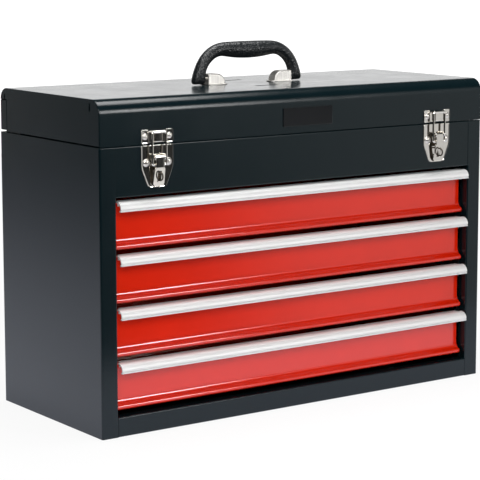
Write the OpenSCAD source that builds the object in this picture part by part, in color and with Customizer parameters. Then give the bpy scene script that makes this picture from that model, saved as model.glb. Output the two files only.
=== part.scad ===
// Portable steel tool box: a hinged lid over an open compartment, four drawers on ball-bearing
// slides, two draw latches and a folding carrying handle. Millimetres, +Z up, front toward -Y.
// The origin is the middle of the base, on the surface that the box stands on.

/* [Case] */
// Width of the case over its side panels
case_w = 520; // [440:1:640]
// Depth of the case from front plane to back panel
case_d = 210; // [190:1:280]
// Thickness of the folded steel sheet
sheet_t = 1; // [0.8:0.1:1.2]
// Outside radius of the sheet's sharp folds
fold_r = 2; // [1.5:0.1:3]
// Width of the front stile at each side of the drawers
stile_w = 19.5; // [17:0.5:30]
// Depth of the folds around the drawer opening
return_d = 12; // [8:0.5:16]
// Height of the rail under the lowest drawer
rail_h = 21; // [16:0.5:40]
// Height of the panel between the top drawer and the lid
front_panel_h = 52.8; // [50:0.1:90]
// Width of the folds along the top edge of the case
top_fold_w = 8; // [5:0.5:12]
// Height of the welding flanges inside the case
flange_h = 12; // [8:0.5:16]
// Gap in the seams between the stiles and the pieces between them
seam_gap = 0.3; // [0.2:0.1:0.8]

/* [Lid] */
// Height of the lid
lid_h = 48; // [44:1:80]
// Gap between the closed lid and the case
lid_gap = 0.5; // [0.3:0.1:1]
// Outside radius of the lid's front and rear bends
lid_bend_r = 12.5; // [8:0.5:16]
// Length of the lid's rear wall that wraps onto each end
lid_tab_w = 13.4; // [10:0.1:20]
// Height of the relief slits in the lid's ends
relief_h = 8; // [4:0.5:8]
// Distance of the relief slits from the front and rear planes
relief_in = 18.8; // [17:0.1:30]
// Length of the narrow slots in the lid's top
slot_l = 30; // [20:1:40]
// Width of the narrow slots
slot_w = 1.6; // [1:0.1:3]
// Distance of each slot from the lid's middle line
slot_off = 42; // [25:1:60]
// Sideways shift of each slot from the middle
slot_shift = 5; // [0:1:20]
// Width of the bare badge plate
badge_w = 67; // [40:1:90]
// Height of the badge plate
badge_h = 20; // [12:1:24]
// Thickness of the badge plate
badge_t = 1.2; // [0.8:0.1:2]
// Distance of the badge plate to the right of the middle
badge_x = 5; // [-20:1:20]

/* [Hinge] */
// Length of the rear hinge
hinge_l = 480; // [300:1:500]
// Number of knuckles along the hinge
knuckles = 15; // [7:2:21]
// Height of the gap between the case's and the lid's rear walls
hinge_gap = 4; // [4:0.1:5]
// Angle at which the two rear walls meet when the lid is open
lid_open_deg = 100; // [95:1:110]
// Radius of the knuckles
knuckle_r = 1.9; // [1.7:0.05:1.95]
// Radius of the hinge pin
hinge_pin_r = 1; // [0.8:0.05:1.1]
// Width of each hinge leaf
leaf_w = 12; // [8:0.5:16]
// Thickness of each hinge leaf
leaf_t = 0.8; // [0.6:0.1:1]

/* [Drawers] */
// Number of drawers
drawer_count = 4; // [2:1:5]
// Height of each drawer front
drawer_h = 52; // [48:1:80]
// Gap between drawers
drawer_gap = 4.4; // [3:0.1:8]
// Gap under the lowest drawer
bottom_gap = 5.8; // [3:0.1:10]
// Gap over the top drawer
top_gap = 3.2; // [2:0.1:8]
// Distance of the drawer fronts behind the front plane
front_setback = 11; // [8:0.5:14]
// Gap between a drawer front and the stile beside it
front_side_gap = 3; // [2:0.1:5]
// Depth of a drawer tray from front to back
tray_d = 183; // [120:1:184]
// Height of the tray's walls
tray_h = 44; // [38:0.5:46]
// Height of the tray's floor over the drawer's lower edge
tray_lift = 3; // [2:0.5:5]
// Radius of the drawer front's hollow flare at its foot
flare_r = 6; // [4:0.5:8]
// Angle that the flare turns through
flare_deg = 65; // [40:1:75]
// Outside radius of the rolled foot under the flare
foot_r = 3; // [2:0.5:4]
// Depth of the folds at a drawer front's top and ends
front_fold_d = 6; // [3:0.5:7]

/* [Drawer pulls] */
// Depth of the pull from the drawer front to its own front
pull_d = 16; // [14:0.5:20]
// Height of the pull
pull_h = 12; // [10:0.5:16]
// Wall of the pull
pull_t = 1.2; // [1:0.1:1.6]
// Outside radius of the pull's rounded top
pull_r = 8; // [4:0.5:9]
// Gap between a pull's end and the stile
pull_side_gap = 2.5; // [2:0.1:5]
// Distance of the pull's top under the drawer front's top
pull_drop = 0.8; // [0.5:0.1:2]
// Width of the lip turned in at the pull's lower edge
pull_lip = 3; // [1.5:0.1:4]

/* [Slides] */
// Height of the outer rail
rail_section_h = 32; // [28:1:36]
// Thickness of the rails' steel
rail_t = 1.2; // [1:0.1:1.4]
// Radius of the balls
ball_r = 2; // [1.6:0.1:2.2]
// Width of the inner rail from the tray's side
inner_rail_w = 7.7; // [7:0.1:9]
// Clearance of the inner rail inside the stile
pass_gap = 0.5; // [0.4:0.1:2]
// Thickness of the whole slide
slide_t = 13.7; // [13.2:0.1:16]
// Length of the rails
slide_l = 180; // [120:1:185]
// Length of the ball cage
cage_l = 60; // [50:1:80]
// Thickness of the ball cage
cage_t = 0.8; // [0.6:0.1:1]
// Distance of the cage's middle behind the case's middle when closed
cage_y = 15; // [5:1:20]
// Spacing of the balls along the cage
ball_pitch = 22; // [10:1:24]
// Width of each slide post
post_w = 24; // [16:1:30]
// Distance of the slide posts from the case's middle
post_y = 66; // [40:1:68]

/* [Latches] */
// Distance of each latch from the middle of the front
latch_x = 191; // [120:1:210]
// Thickness of the latch plates
latch_t = 1; // [0.8:0.1:1.2]
// Width of the latch plates
latch_w = 39; // [37:0.5:44]
// Distance from the seam to the lower end of the base plate
latch_l = 44.5; // [43:0.5:48]
// Distance from the seam to where the base plate starts to narrow
latch_straight = 24; // [23:0.5:30]
// Width of the base plate's lower end
latch_end_w = 22; // [16:0.5:30]
// Height of the keeper plate on the lid
keeper_h = 16; // [15:0.5:20]
// Gap between the seam and each latch plate
latch_seam_gap = 0.8; // [0.5:0.1:2]
// Distance of the lever's pivot in front of the case
pivot_out = 5; // [4.8:0.1:7]
// Distance of the lever's pivot under the seam
pivot_drop = 13; // [12:0.5:14]
// Distance between the lever's pivot and the bail's pivot
bail_arm = 8; // [7.5:0.1:9]
// Height of the bail from its pivot to its top bar
bail_h = 34; // [32:0.5:36]
// Width of the bail between the middles of its side wires
bail_w = 18.5; // [17:0.5:20]
// Radius of the bail's wire
wire_r = 1; // [0.8:0.05:1.1]
// Width of the lever
lever_w = 10.4; // [9:0.1:11]
// Length of the lever from its pivot to its tip
lever_l = 31.5; // [30:0.5:34]
// Radius of the lever's roll
roll_r = 2.2; // [2:0.05:2.6]
// Radius of the lever's pivot pin
lever_pin_r = 1; // [0.8:0.05:1.1]
// Width of the keeper's tongue
tongue_w = 9; // [6:0.5:12]
// Outside radius of the padlock staple
staple_r = 5; // [4:0.1:5.2]
// Width of the staple's metal seen from the side
staple_band = 1.6; // [1.2:0.1:2]
// Thickness of the staple
staple_t = 1.8; // [1.2:0.1:2]
// Distance of the staple's middle under the seam
staple_drop = 33; // [32.5:0.5:34]

/* [Rivets] */
// Head radius of the base plates' rivets
plate_rivet_r = 4.2; // [3:0.1:4.5]
// Head radius of the keepers' rivets
keeper_rivet_r = 3.6; // [2.5:0.1:4]
// Height of the latch rivets' heads
rivet_h = 2; // [1:0.1:2.4]
// Radius of the latch rivets' shanks
shank_r = 1.6; // [1:0.1:2]
// Distance of the base plates' rivets from the latch's middle
plate_rivet_x = 13.5; // [13:0.5:15]
// Distance of the base plates' rivets under the seam
plate_rivet_drop = 18.7; // [16:0.1:20]
// Distance of the keepers' rivets from the latch's middle
keeper_rivet_x = 15; // [14.5:0.1:15.5]
// Head radius of the handle brackets' rivets
bracket_rivet_r = 1.4; // [1:0.1:1.5]

/* [Handle] */
// Distance of each leg's middle from the middle of the handle
leg_x = 64.5; // [55:0.5:90]
// Radius of the legs
leg_r = 6.5; // [5.5:0.1:7]
// Radius of the feet about their pins
heel_r = 7; // [6.5:0.1:8]
// Width of the feet
heel_w = 13; // [9:0.5:14]
// Radius of the shoulders' middle line
shoulder_r = 21; // [18:0.5:28]
// Radius of the grip in its middle
grip_r = 9.5; // [8:0.1:11]
// Length of the thick middle of the grip
grip_l = 44; // [20:1:60]
// Height of the grip's middle over the lid
grip_up = 38; // [36:0.5:60]
// Distance of the handle behind the lid's middle
handle_y = 2; // [-10:1:10]
// Gap between the feet and the lid
foot_gap = 0.3; // [0.3:0.1:1]
// Radius of the handle's pins
handle_pin_r = 2.5; // [2:0.1:3]
// Length of each pin inside its bracket
handle_pin_l = 14; // [8:0.5:15]
// Length of each bracket
bracket_l = 19.5; // [18:0.5:24]
// Width of each bracket
bracket_w = 14; // [12:0.5:16]
// Height of each bracket
bracket_h = 13; // [12.5:0.5:16]
// Radius of the bracket's rounded end
bracket_r = 9; // [6:0.5:10]
// Thickness of the brackets' metal
bracket_t = 1; // [0.8:0.1:1.4]
// Width of the brackets' riveted flanges
bracket_flange = 3.2; // [3.2:0.1:5]
// Gap between a foot and its bracket
bracket_gap = 0.6; // [0.3:0.1:1]

/* [Hidden] */
$fn = 64;
// Running clearance, on the radius, of pins in their bores
pin_gap = 0.05;
// Clearance, on the radius, of rivets in their holes
rivet_gap = 0.05;
// Small clearance between pieces that pass each other
pass_clear = 0.3;
// Length by which a cutting shape runs past a face
past = 1;

half_w = case_w / 2;
front_y = -case_d / 2;
back_y = case_d / 2;
side_in = half_w - sheet_t;
open_half = half_w - stile_w;
drawer_pitch = drawer_h + drawer_gap;
open_z0 = rail_h;
open_z1 = open_z0 + bottom_gap + drawer_count * drawer_pitch - drawer_gap + top_gap;
case_h = open_z1 + front_panel_h;
lid_z0 = case_h + lid_gap;
lid_z1 = lid_z0 + lid_h;
lid_rear_z0 = case_h + hinge_gap;

hinge_z = case_h + hinge_gap / 2;
hinge_y = back_y - (hinge_gap / 2) / tan(lid_open_deg / 2);
knuckle_l = hinge_l / knuckles;
// Gap between neighbouring knuckles
knuckle_gap = 0.4;

face_y = front_y + front_setback;
front_half = open_half - front_side_gap;
pull_half = open_half - pull_side_gap;
flare_h = (flare_r + foot_r) * sin(flare_deg) + foot_r;

tray_x = open_half - pass_gap - inner_rail_w;
slide_x = tray_x + slide_t;
post_d = side_in - slide_x;
// Gap between the stile's fold and the front end of the slides
slide_front_gap = 7;
slide_y0 = front_y + return_d + slide_front_gap;
// Gap between a ball and each raceway
ball_gap = 0.05;
race_outer = rail_section_h / 2 - rail_t;
race_inner = race_outer - 2 * ball_r - 2 * ball_gap;
ball_x = tray_x + rail_t + (inner_rail_w - rail_t) * 0.6;
// Gap between the inner rail's edge and the cage's web
cage_gap = 2;
// Reach of the rails' flanges and of the cage's lips past the balls' middles
flange_past = 2.9;

pivot_y = front_y - pivot_out;
pivot_z = case_h - pivot_drop;
bail_z = pivot_z - bail_arm;
bar_z = bail_z + bail_h;
// Gap between the latch's ears and the lever, and thickness of an ear
ear_gap = 0.3;
ear_r = 3;
lever_t = 1;
// Distance that the lever's cheeks reach past the bail's pivot
cheek_past = 3;
// Side clearance of the staple in the lever's slot
staple_gap = 0.5;

pin_z = lid_z1 + foot_gap + heel_r;
grip_z = lid_z1 + grip_up;
heel_half = max(heel_w / 2, leg_r);
heel_x0 = leg_x - heel_half;
bracket_x1 = heel_x0 - bracket_gap;
bracket_x0 = bracket_x1 - bracket_l;
// Radius and thickness of the handle pins' heads, and length of each pin in its foot
pin_head_r = 3.8;
pin_head_t = 1.5;
pin_seat = 9;
// Distances of the bracket rivets from the bracket's two ends
rivet_in = 3;
rivet_out = 7;
tail_h = 0.8;

charcoal = "#2a3135";
red = "#c8281c";
aluminium = "#dcdcd8";
nickel = "#c9c4ba";
zinc = "#aab0b4";
black = "#1b1f22";

sides = ["left", "right"];
function numbered(base) = [for (n = [1:drawer_count]) str(base, n)];
function both(base) = [for (s = sides) str(base, s)];

// ---- helpers -------------------------------------------------------------------------------

// Block between two opposite corners
module block(a, b) {
    translate(a) cube(b - a);
}

// Rectangle between two opposite corners
module area(a, b) {
    translate(a) square(b - a);
}

// Extrudes a (y, z) outline from x0 to x1
module along_x(x0, x1) {
    translate([x0, 0, 0]) rotate([90, 0, 90]) linear_extrude(x1 - x0) children();
}

// Extrudes an (x, z) outline from y0 to y1
module along_y(y0, y1) {
    translate([0, y1, 0]) rotate([90, 0, 0]) linear_extrude(y1 - y0) children();
}

// Extrudes an (x, y) outline from z0 to z1
module along_z(z0, z1) {
    translate([0, 0, z0]) linear_extrude(z1 - z0) children();
}

// Rod parallel to X
module rod_x(r, x0, x1, y, z) {
    translate([x0, y, z]) rotate([0, 90, 0]) cylinder(r = r, h = x1 - x0);
}

// Rod parallel to Z
module rod_z(r, x, y, z0, z1) {
    translate([x, y, z0]) cylinder(r = r, h = z1 - z0);
}

// Mirrors what is drawn for the right side (+X) onto the named side
module on_side(side) {
    mirror([side == "left" ? 1 : 0, 0, 0]) children();
}

// Draws its child on both sides
module on_both() {
    for (s = sides) on_side(s) children();
}

// Points on an arc, both ends included
function arc(c, r, a0, a1, n) =
    [for (i = [0:n]) c + r * [cos(a0 + (a1 - a0) * i / n), sin(a0 + (a1 - a0) * i / n)]];

// Curved strip of sheet between two radii about one centre
module arc_band(c, r_in, r_out, a0, a1) {
    polygon(concat(arc(c, r_out, a0, a1, 16), arc(c, r_in, a1, a0, 16)));
}

// Rivet along Z: domed head over z = 0, shank down through the grip, upset tail under it
module rivet(head_r, head_h, r, grip) {
    cap_r = (head_r * head_r + head_h * head_h) / (2 * head_h);
    rotate_extrude() intersection() {
        translate([0, head_h - cap_r]) circle(cap_r, $fn = 96);
        area([0, 0], [head_r, head_h]);
    }
    translate([0, 0, -grip]) cylinder(r = r, h = grip);
    translate([0, 0, -grip - tail_h]) cylinder(r = 1.5 * r, h = tail_h);
}

// ---- case ----------------------------------------------------------------------------------

// Side panel with its folded stile, the fold around the drawer opening and the folds on top
module side_panel() {
    color(charcoal) {
        along_z(0, case_h) {
            area([side_in, front_y + fold_r], [half_w, back_y]);
            area([open_half, front_y], [half_w - fold_r, front_y + sheet_t]);
            arc_band([half_w - fold_r, front_y + fold_r], fold_r - sheet_t, fold_r, -90, 0);
        }
        block([open_half, front_y, open_z0], [open_half + sheet_t, front_y + return_d, open_z1]);
        block([half_w - top_fold_w, front_y + fold_r, case_h - sheet_t],
            [half_w, back_y - sheet_t - leaf_w, case_h]);
        block([open_half, front_y, case_h - sheet_t],
            [half_w - fold_r, front_y + top_fold_w, case_h]);
    }
}

// Back panel between the sides, with a welding flange along each side of the drawer bay
module back_panel() {
    flange_z0 = sheet_t + flange_h + pass_clear;
    color(charcoal) {
        block([-side_in, back_y - sheet_t, 0], [side_in, back_y, case_h]);
        on_both() block([side_in - sheet_t, back_y - sheet_t - flange_h, flange_z0],
            [side_in, back_y - sheet_t, open_z1 - past]);
    }
}

// Tabs welded behind the stiles, between two heights
module stile_tabs(z0, z1) {
    on_both() block([open_half - flange_h / 2, front_y + sheet_t, z0],
        [half_w - fold_r - sheet_t, front_y + 2 * sheet_t, z1]);
}

// Base pan: floor, front rail with its fold, and welding flanges
module base_pan() {
    rail_half = open_half - seam_gap;
    flange_y = case_d / 2 - flange_h - 2 * sheet_t;
    color(charcoal) {
        block([-side_in, front_y + 2 * sheet_t, 0], [side_in, back_y - sheet_t, sheet_t]);
        block([-rail_half, front_y, 0], [rail_half, front_y + sheet_t, rail_h]);
        block([-rail_half, front_y, 0], [rail_half, front_y + 3 * sheet_t, sheet_t]);
        block([-rail_half, front_y, rail_h - sheet_t], [rail_half, front_y + return_d, rail_h]);
        stile_tabs(0, rail_h - 2 * sheet_t);
        on_both() block([side_in - sheet_t, -flange_y, 0], [side_in, flange_y, flange_h]);
        block([-half_w + flange_h, back_y - 2 * sheet_t, 0],
            [half_w - flange_h, back_y - sheet_t, flange_h]);
    }
}

// Panel over the drawers, with the latch plates' rivet holes
module front_panel() {
    panel_half = open_half - seam_gap;
    color(charcoal) difference() {
        union() {
            block([-panel_half, front_y, open_z1], [panel_half, front_y + sheet_t, case_h]);
            block([-panel_half, front_y, open_z1],
                [panel_half, front_y + return_d, open_z1 + sheet_t]);
            block([-panel_half, front_y, case_h - sheet_t],
                [panel_half, front_y + top_fold_w, case_h]);
            stile_tabs(open_z1 + 2 * sheet_t, case_h - 2 * sheet_t);
        }
        plate_rivet_holes();
    }
}

// Floor of the top compartment, resting on the front panel's lower fold
module tray_floor() {
    z0 = open_z1 + sheet_t;
    flange_y = case_d / 2 - flange_h;
    color(charcoal) {
        block([-side_in, front_y + 2 * sheet_t + pass_clear, z0],
            [side_in, back_y - sheet_t, z0 + sheet_t]);
        on_both() block([side_in - sheet_t, -flange_y, z0], [side_in, flange_y, z0 + flange_h]);
        block([flange_h - half_w, back_y - 2 * sheet_t, z0],
            [half_w - flange_h, back_y - sheet_t, z0 + flange_h]);
    }
}

// Front and rear hat-section posts that hold one side's slides off the side panel
module slide_posts() {
    z0 = sheet_t + flange_h + pass_clear;
    foot_l = flange_h / 2;
    color(zinc) for (y = [-post_y, post_y]) translate([0, y, 0]) along_z(z0, open_z1 - past) {
        area([slide_x, -post_w / 2], [slide_x + sheet_t, post_w / 2]);
        for (s = [-1, 1]) scale([1, s]) {
            area([slide_x, post_w / 2 - sheet_t], [side_in, post_w / 2]);
            area([side_in - sheet_t, post_w / 2 - sheet_t], [side_in, post_w / 2 + foot_l]);
        }
    }
}

// ---- drawer slides -------------------------------------------------------------------------

function drawer_z(n) = open_z0 + bottom_gap + (drawer_count - n) * drawer_pitch;
function slide_z(n) = drawer_z(n) + tray_lift + tray_h / 2;

// Outer rails of one drawer, fixed to the posts
module slide_outer(n) {
    top = rail_section_h / 2;
    color(zinc) on_both() translate([0, 0, slide_z(n)]) along_y(slide_y0, slide_y0 + slide_l) {
        area([slide_x - rail_t, -top], [slide_x, top]);
        for (s = [-1, 1]) scale([1, s])
            area([ball_x - flange_past, race_outer], [slide_x, top]);
    }
}

// Inner rails of one drawer, fixed to the tray's sides
module slide_inner(n) {
    color(zinc) on_both() translate([0, 0, slide_z(n)]) along_y(slide_y0, slide_y0 + slide_l) {
        area([tray_x, -race_inner], [tray_x + rail_t, race_inner]);
        for (s = [-1, 1]) scale([1, s])
            area([tray_x, race_inner - rail_t], [tray_x + inner_rail_w, race_inner]);
    }
}

// Heights and places of one slide's balls, about the middle of its cage
ball_z = (race_outer + race_inner) / 2;
ball_places = [for (y = [-1, 0, 1], z = [-1, 1]) [ball_x, cage_y + y * ball_pitch, z * ball_z]];

// Ball cages of one drawer: a web behind the inner rail and two lips that hold the balls
module slide_cage(n) {
    web_x = tray_x + inner_rail_w + cage_gap;
    y0 = cage_y - cage_l / 2;
    lip_z = ball_z - cage_t / 2;
    color(zinc) on_both() translate([0, 0, slide_z(n)]) difference() {
        along_y(y0, y0 + cage_l) {
            area([web_x, -lip_z - cage_t], [web_x + cage_t, lip_z + cage_t]);
            for (s = [-1, 1]) scale([1, s])
                area([ball_x - flange_past, lip_z], [web_x, lip_z + cage_t]);
        }
        for (p = ball_places)
            rod_z(ball_r + 3 * ball_gap, p.x, p.y, p.z - cage_t, p.z + cage_t);
    }
}

// Balls of one drawer's slides
module slide_balls(n) {
    color(nickel) on_both() translate([0, 0, slide_z(n)])
        for (p = ball_places) translate(p) sphere(r = ball_r);
}

// ---- drawers -------------------------------------------------------------------------------

// Open tray between the inner rails
module drawer_tray(n) {
    z0 = drawer_z(n) + tray_lift;
    y0 = face_y + sheet_t;
    color(red) difference() {
        block([-tray_x, y0, z0], [tray_x, y0 + tray_d, z0 + tray_h]);
        block([sheet_t - tray_x, y0 + sheet_t, z0 + sheet_t],
            [tray_x - sheet_t, y0 + tray_d - sheet_t, z0 + tray_h + past]);
    }
}

// Section of a drawer front: fold on top, flat face, hollow flare and rolled foot
module front_section() {
    flare_c = [face_y - flare_r, flare_h];
    foot_c = flare_c + (flare_r + foot_r) * [cos(flare_deg), -sin(flare_deg)];
    area([face_y, flare_h], [face_y + sheet_t, drawer_h]);
    area([face_y, drawer_h - sheet_t], [face_y + front_fold_d, drawer_h]);
    arc_band(flare_c, flare_r, flare_r + sheet_t, 0, -flare_deg);
    arc_band(foot_c, foot_r - sheet_t, foot_r, 180 - flare_deg, 270);
    area([foot_c.x, 0], [face_y + sheet_t, sheet_t]);
}

// Drawer front with its end folds
module drawer_front(n) {
    color(red) translate([0, 0, drawer_z(n)]) {
        along_x(-front_half, front_half) front_section();
        on_both() block([front_half - sheet_t, face_y, flare_h],
            [front_half, face_y + front_fold_d, drawer_h]);
    }
}

// Section of the extruded pull: web on the drawer front, rounded top, front face and lip
module pull_section() {
    top = drawer_h - pull_drop;
    pull_y = face_y - pull_d;
    area([face_y - pull_t, top - pull_h], [face_y, top]);
    area([pull_y + pull_r, top - pull_t], [face_y, top]);
    arc_band([pull_y + pull_r, top - pull_r], pull_r - pull_t, pull_r, 90, 180);
    area([pull_y, top - pull_h], [pull_y + pull_t, top - pull_r]);
    area([pull_y, top - pull_h], [pull_y + pull_lip, top - pull_h + pull_t]);
}

// Pull along the top of one drawer front
module drawer_pull(n) {
    color(aluminium) translate([0, 0, drawer_z(n)])
        along_x(-pull_half, pull_half) pull_section();
}

// ---- lid -----------------------------------------------------------------------------------

// Outline of the lid seen from its end, drawn in by an inset and open at the bottom from z0
module lid_outline(inset, z0) {
    bend_z = lid_z1 - lid_bend_r;
    for (y = [front_y + lid_bend_r, back_y - lid_bend_r])
        translate([y, bend_z]) circle(lid_bend_r - inset);
    area([front_y + inset, z0], [back_y - inset, bend_z]);
    area([front_y + lid_bend_r, z0], [back_y - lid_bend_r, lid_z1 - inset]);
}

// Top, front and rear of the lid in one sheet, with the tabs that wrap onto its ends
module lid_panel() {
    bend_z = lid_z1 - lid_bend_r;
    color(charcoal) difference() {
        union() {
            along_x(-side_in, side_in) difference() {
                lid_outline(0, lid_z0);
                lid_outline(sheet_t, lid_z0 - past);
                area([0, lid_z0 - past], [back_y + past, lid_rear_z0]);
            }
            on_both() block([side_in, back_y - lid_tab_w, lid_rear_z0],
                [half_w, back_y, bend_z - past]);
        }
        for (s = [-1, 1]) translate([-s * slot_shift, -s * slot_off, 0])
            block([-slot_l / 2, -slot_w / 2, lid_z1 - sheet_t - past],
                [slot_l / 2, slot_w / 2, lid_z1 + past]);
        keeper_rivet_holes();
        bracket_rivet_holes();
    }
}

// End of the lid, with relief slits, a welding flange and a notch for the rear wall's tab
module lid_end() {
    bend_z = lid_z1 - lid_bend_r;
    slit_w = 0.8;
    color(charcoal) {
        along_x(side_in, half_w) difference() {
            lid_outline(0, lid_z0);
            area([back_y - lid_tab_w - pass_clear, lid_z0 - past],
                [back_y + past, bend_z - past + pass_clear]);
            for (y = [front_y + relief_in, back_y - relief_in])
                area([y - slit_w / 2, bend_z], [y + slit_w / 2, bend_z + relief_h]);
        }
        block([side_in - top_fold_w, front_y + relief_in + past, lid_z1 - 2 * sheet_t],
            [side_in + sheet_t / 2, back_y - relief_in - past, lid_z1 - sheet_t]);
    }
}

// Bare plate on the lid's front
module badge_plate() {
    mid_z = lid_z0 + (lid_h - lid_bend_r) / 2;
    color(black) along_y(front_y - badge_t, front_y)
        area([badge_x - badge_w / 2, mid_z - badge_h / 2],
            [badge_x + badge_w / 2, mid_z + badge_h / 2]);
}

// ---- hinge ---------------------------------------------------------------------------------

// Middle of one knuckle along the hinge, counted from 0 at the left
function knuckle_x(k) = -hinge_l / 2 + (k + 0.5) * knuckle_l;

// Knuckles from the first, every second one, each joined to its leaf from z0 to z1
module knuckle_row(first, z0, z1) {
    leaf_y = back_y - sheet_t;
    half = knuckle_l / 2 - knuckle_gap / 2;
    difference() {
        for (k = [first:2:knuckles - 1]) {
            rod_x(knuckle_r, knuckle_x(k) - half, knuckle_x(k) + half, hinge_y, hinge_z);
            block([knuckle_x(k) - half, leaf_y - leaf_t, z0], [knuckle_x(k) + half, leaf_y, z1]);
        }
        rod_x(hinge_pin_r + pin_gap, -hinge_l, hinge_l, hinge_y, hinge_z);
    }
}

// Hinge leaf on the inside of the case's back panel
module hinge_leaf_case() {
    leaf_y = back_y - sheet_t;
    leaf_z1 = hinge_z - knuckle_r - pass_clear;
    color(zinc) {
        block([-hinge_l / 2, leaf_y - leaf_t, case_h - leaf_w], [hinge_l / 2, leaf_y, leaf_z1]);
        knuckle_row(0, leaf_z1, hinge_z);
    }
}

// Hinge leaf on the inside of the lid's rear wall
module hinge_leaf_lid() {
    leaf_y = back_y - sheet_t;
    leaf_z0 = hinge_z + knuckle_r + pass_clear;
    color(zinc) {
        block([-hinge_l / 2, leaf_y - leaf_t, leaf_z0],
            [hinge_l / 2, leaf_y, lid_rear_z0 + leaf_w]);
        knuckle_row(1, hinge_z, leaf_z0);
    }
}

module hinge_pin() {
    color(nickel) rod_x(hinge_pin_r, -hinge_l / 2, hinge_l / 2, hinge_y, hinge_z);
}

// ---- latches -------------------------------------------------------------------------------

// Places of the rivets, as [x, z], for the right-hand latch
plate_rivets = [for (s = [-1, 1]) [latch_x + s * plate_rivet_x, case_h - plate_rivet_drop]];
keeper_z = case_h + lid_gap + latch_seam_gap;
keeper_rivets = [for (s = [-1, 1]) [latch_x + s * keeper_rivet_x, keeper_z + keeper_h / 2]];

module rivet_holes(places) {
    on_both() for (p = places)
        translate([p[0], front_y + sheet_t + past, p[1]]) rotate([90, 0, 0])
            cylinder(r = shank_r + rivet_gap, h = latch_t + sheet_t + 2 * past);
}

module plate_rivet_holes() {
    rivet_holes(plate_rivets);
}

module keeper_rivet_holes() {
    rivet_holes(keeper_rivets);
}

module latch_rivets(places, head_r) {
    color(nickel) on_both() for (p = places)
        translate([p[0], front_y - latch_t, p[1]]) rotate([90, 0, 0])
            rivet(head_r, rivet_h, shank_r, latch_t + sheet_t);
}

// Base plate with the lever's ears and the padlock staple
module latch_plate() {
    ear_x = lever_w / 2 + ear_gap;
    top = case_h - latch_seam_gap;
    straight_z = case_h - latch_straight;
    end_z = case_h - latch_l;
    staple_y = front_y - pivot_out - roll_r;
    staple_z = case_h - staple_drop;
    corner = 3;
    color(nickel) difference() {
        union() {
            along_y(front_y - latch_t, front_y) translate([latch_x, 0]) polygon([
                [-latch_w / 2, top], [-latch_w / 2, straight_z],
                [-latch_end_w / 2, end_z + corner], [corner - latch_end_w / 2, end_z],
                [latch_end_w / 2 - corner, end_z], [latch_end_w / 2, end_z + corner],
                [latch_w / 2, straight_z], [latch_w / 2, top]]);
            for (s = [-1, 1]) translate([latch_x + s * (ear_x + latch_t / 2), 0, 0]) {
                rod_x(ear_r, -latch_t / 2, latch_t / 2, pivot_y, pivot_z);
                block([-latch_t / 2, pivot_y, pivot_z - ear_r],
                    [latch_t / 2, front_y - latch_t / 2, pivot_z + ear_r]);
            }
            rod_x(staple_r, latch_x - staple_t / 2, latch_x + staple_t / 2, staple_y, staple_z);
            block([latch_x - staple_t / 2, staple_y, staple_z - staple_r],
                [latch_x + staple_t / 2, front_y - latch_t / 2, staple_z + staple_r]);
        }
        rod_x(lever_pin_r + rivet_gap, 0, half_w, pivot_y, pivot_z);
        rod_x(staple_r - staple_band, latch_x - staple_t, latch_x + staple_t, staple_y, staple_z);
        plate_rivet_holes();
    }
}

// Pivot pins of both levers, held by the ears
module latch_pins() {
    half = lever_w / 2 + ear_gap + latch_t + ear_gap;
    color(nickel) on_both()
        rod_x(lever_pin_r, latch_x - half, latch_x + half, pivot_y, pivot_z);
}

// Keeper plate on the lid, with the tongue that the bail hooks over
module keeper() {
    tongue_y = pivot_y + wire_r + pass_clear;
    top = keeper_z + keeper_h;
    foot_z = keeper_z + latch_t;
    color(nickel) difference() {
        union() {
            block([latch_x - latch_w / 2, front_y - latch_t, keeper_z],
                [latch_x + latch_w / 2, front_y, top]);
            block([latch_x - tongue_w / 2, tongue_y, foot_z],
                [latch_x + tongue_w / 2, tongue_y + latch_t, bar_z]);
            block([latch_x - tongue_w / 2, tongue_y, foot_z],
                [latch_x + tongue_w / 2, front_y, foot_z + latch_t]);
        }
        keeper_rivet_holes();
    }
}

// Lever: a roll round the pivot pin, two cheeks for the bail, and a slotted front plate
module latch_lever() {
    half = lever_w / 2;
    cheek_y = wire_r + rivet_gap + lever_t / 2;
    tip_half = half - lever_t;
    tip_cut = 3.5;
    slot_half = staple_r + staple_gap;
    cheek_z = pivot_z - bail_arm - cheek_past;
    color(nickel) translate([latch_x, 0, 0]) difference() {
        union() {
            rod_x(roll_r, -half, half, pivot_y, pivot_z);
            along_y(pivot_y - roll_r, pivot_y - roll_r + lever_t) polygon([
                [-half, pivot_z], [-half, pivot_z - lever_l + tip_cut],
                [-tip_half + lever_t, pivot_z - lever_l], [tip_half - lever_t, pivot_z - lever_l],
                [half, pivot_z - lever_l + tip_cut], [half, pivot_z]]);
            for (s = [-1, 1]) scale([s, 1, 1])
                block([half - lever_t, pivot_y - roll_r, cheek_z],
                    [half, pivot_y + cheek_y, pivot_z]);
        }
        rod_x(lever_pin_r + pin_gap, -lever_w, lever_w, pivot_y, pivot_z);
        rod_x(wire_r + pin_gap, -lever_w, lever_w, pivot_y, bail_z);
        translate([0, pivot_y, case_h - staple_drop])
            block([-staple_t / 2 - staple_gap, -lever_w, -slot_half],
                [staple_t / 2 + staple_gap, 0, slot_half]);
    }
}

// Wire bail: two side wires, the top bar over the keeper's tongue, and ends turned in
module latch_bail() {
    half = bail_w / 2;
    inner = lever_w / 2 - lever_t;
    color(nickel) translate([latch_x, pivot_y, 0]) {
        rod_x(wire_r, -half, half, 0, bar_z);
        for (s = [-1, 1]) scale([s, 1, 1]) {
            rod_z(wire_r, half, 0, bail_z, bar_z);
            rod_x(wire_r, inner, half, 0, bail_z);
            translate([half, 0, bar_z]) sphere(r = wire_r);
            translate([half, 0, bail_z]) sphere(r = wire_r);
        }
    }
}

// ---- handle --------------------------------------------------------------------------------

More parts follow.
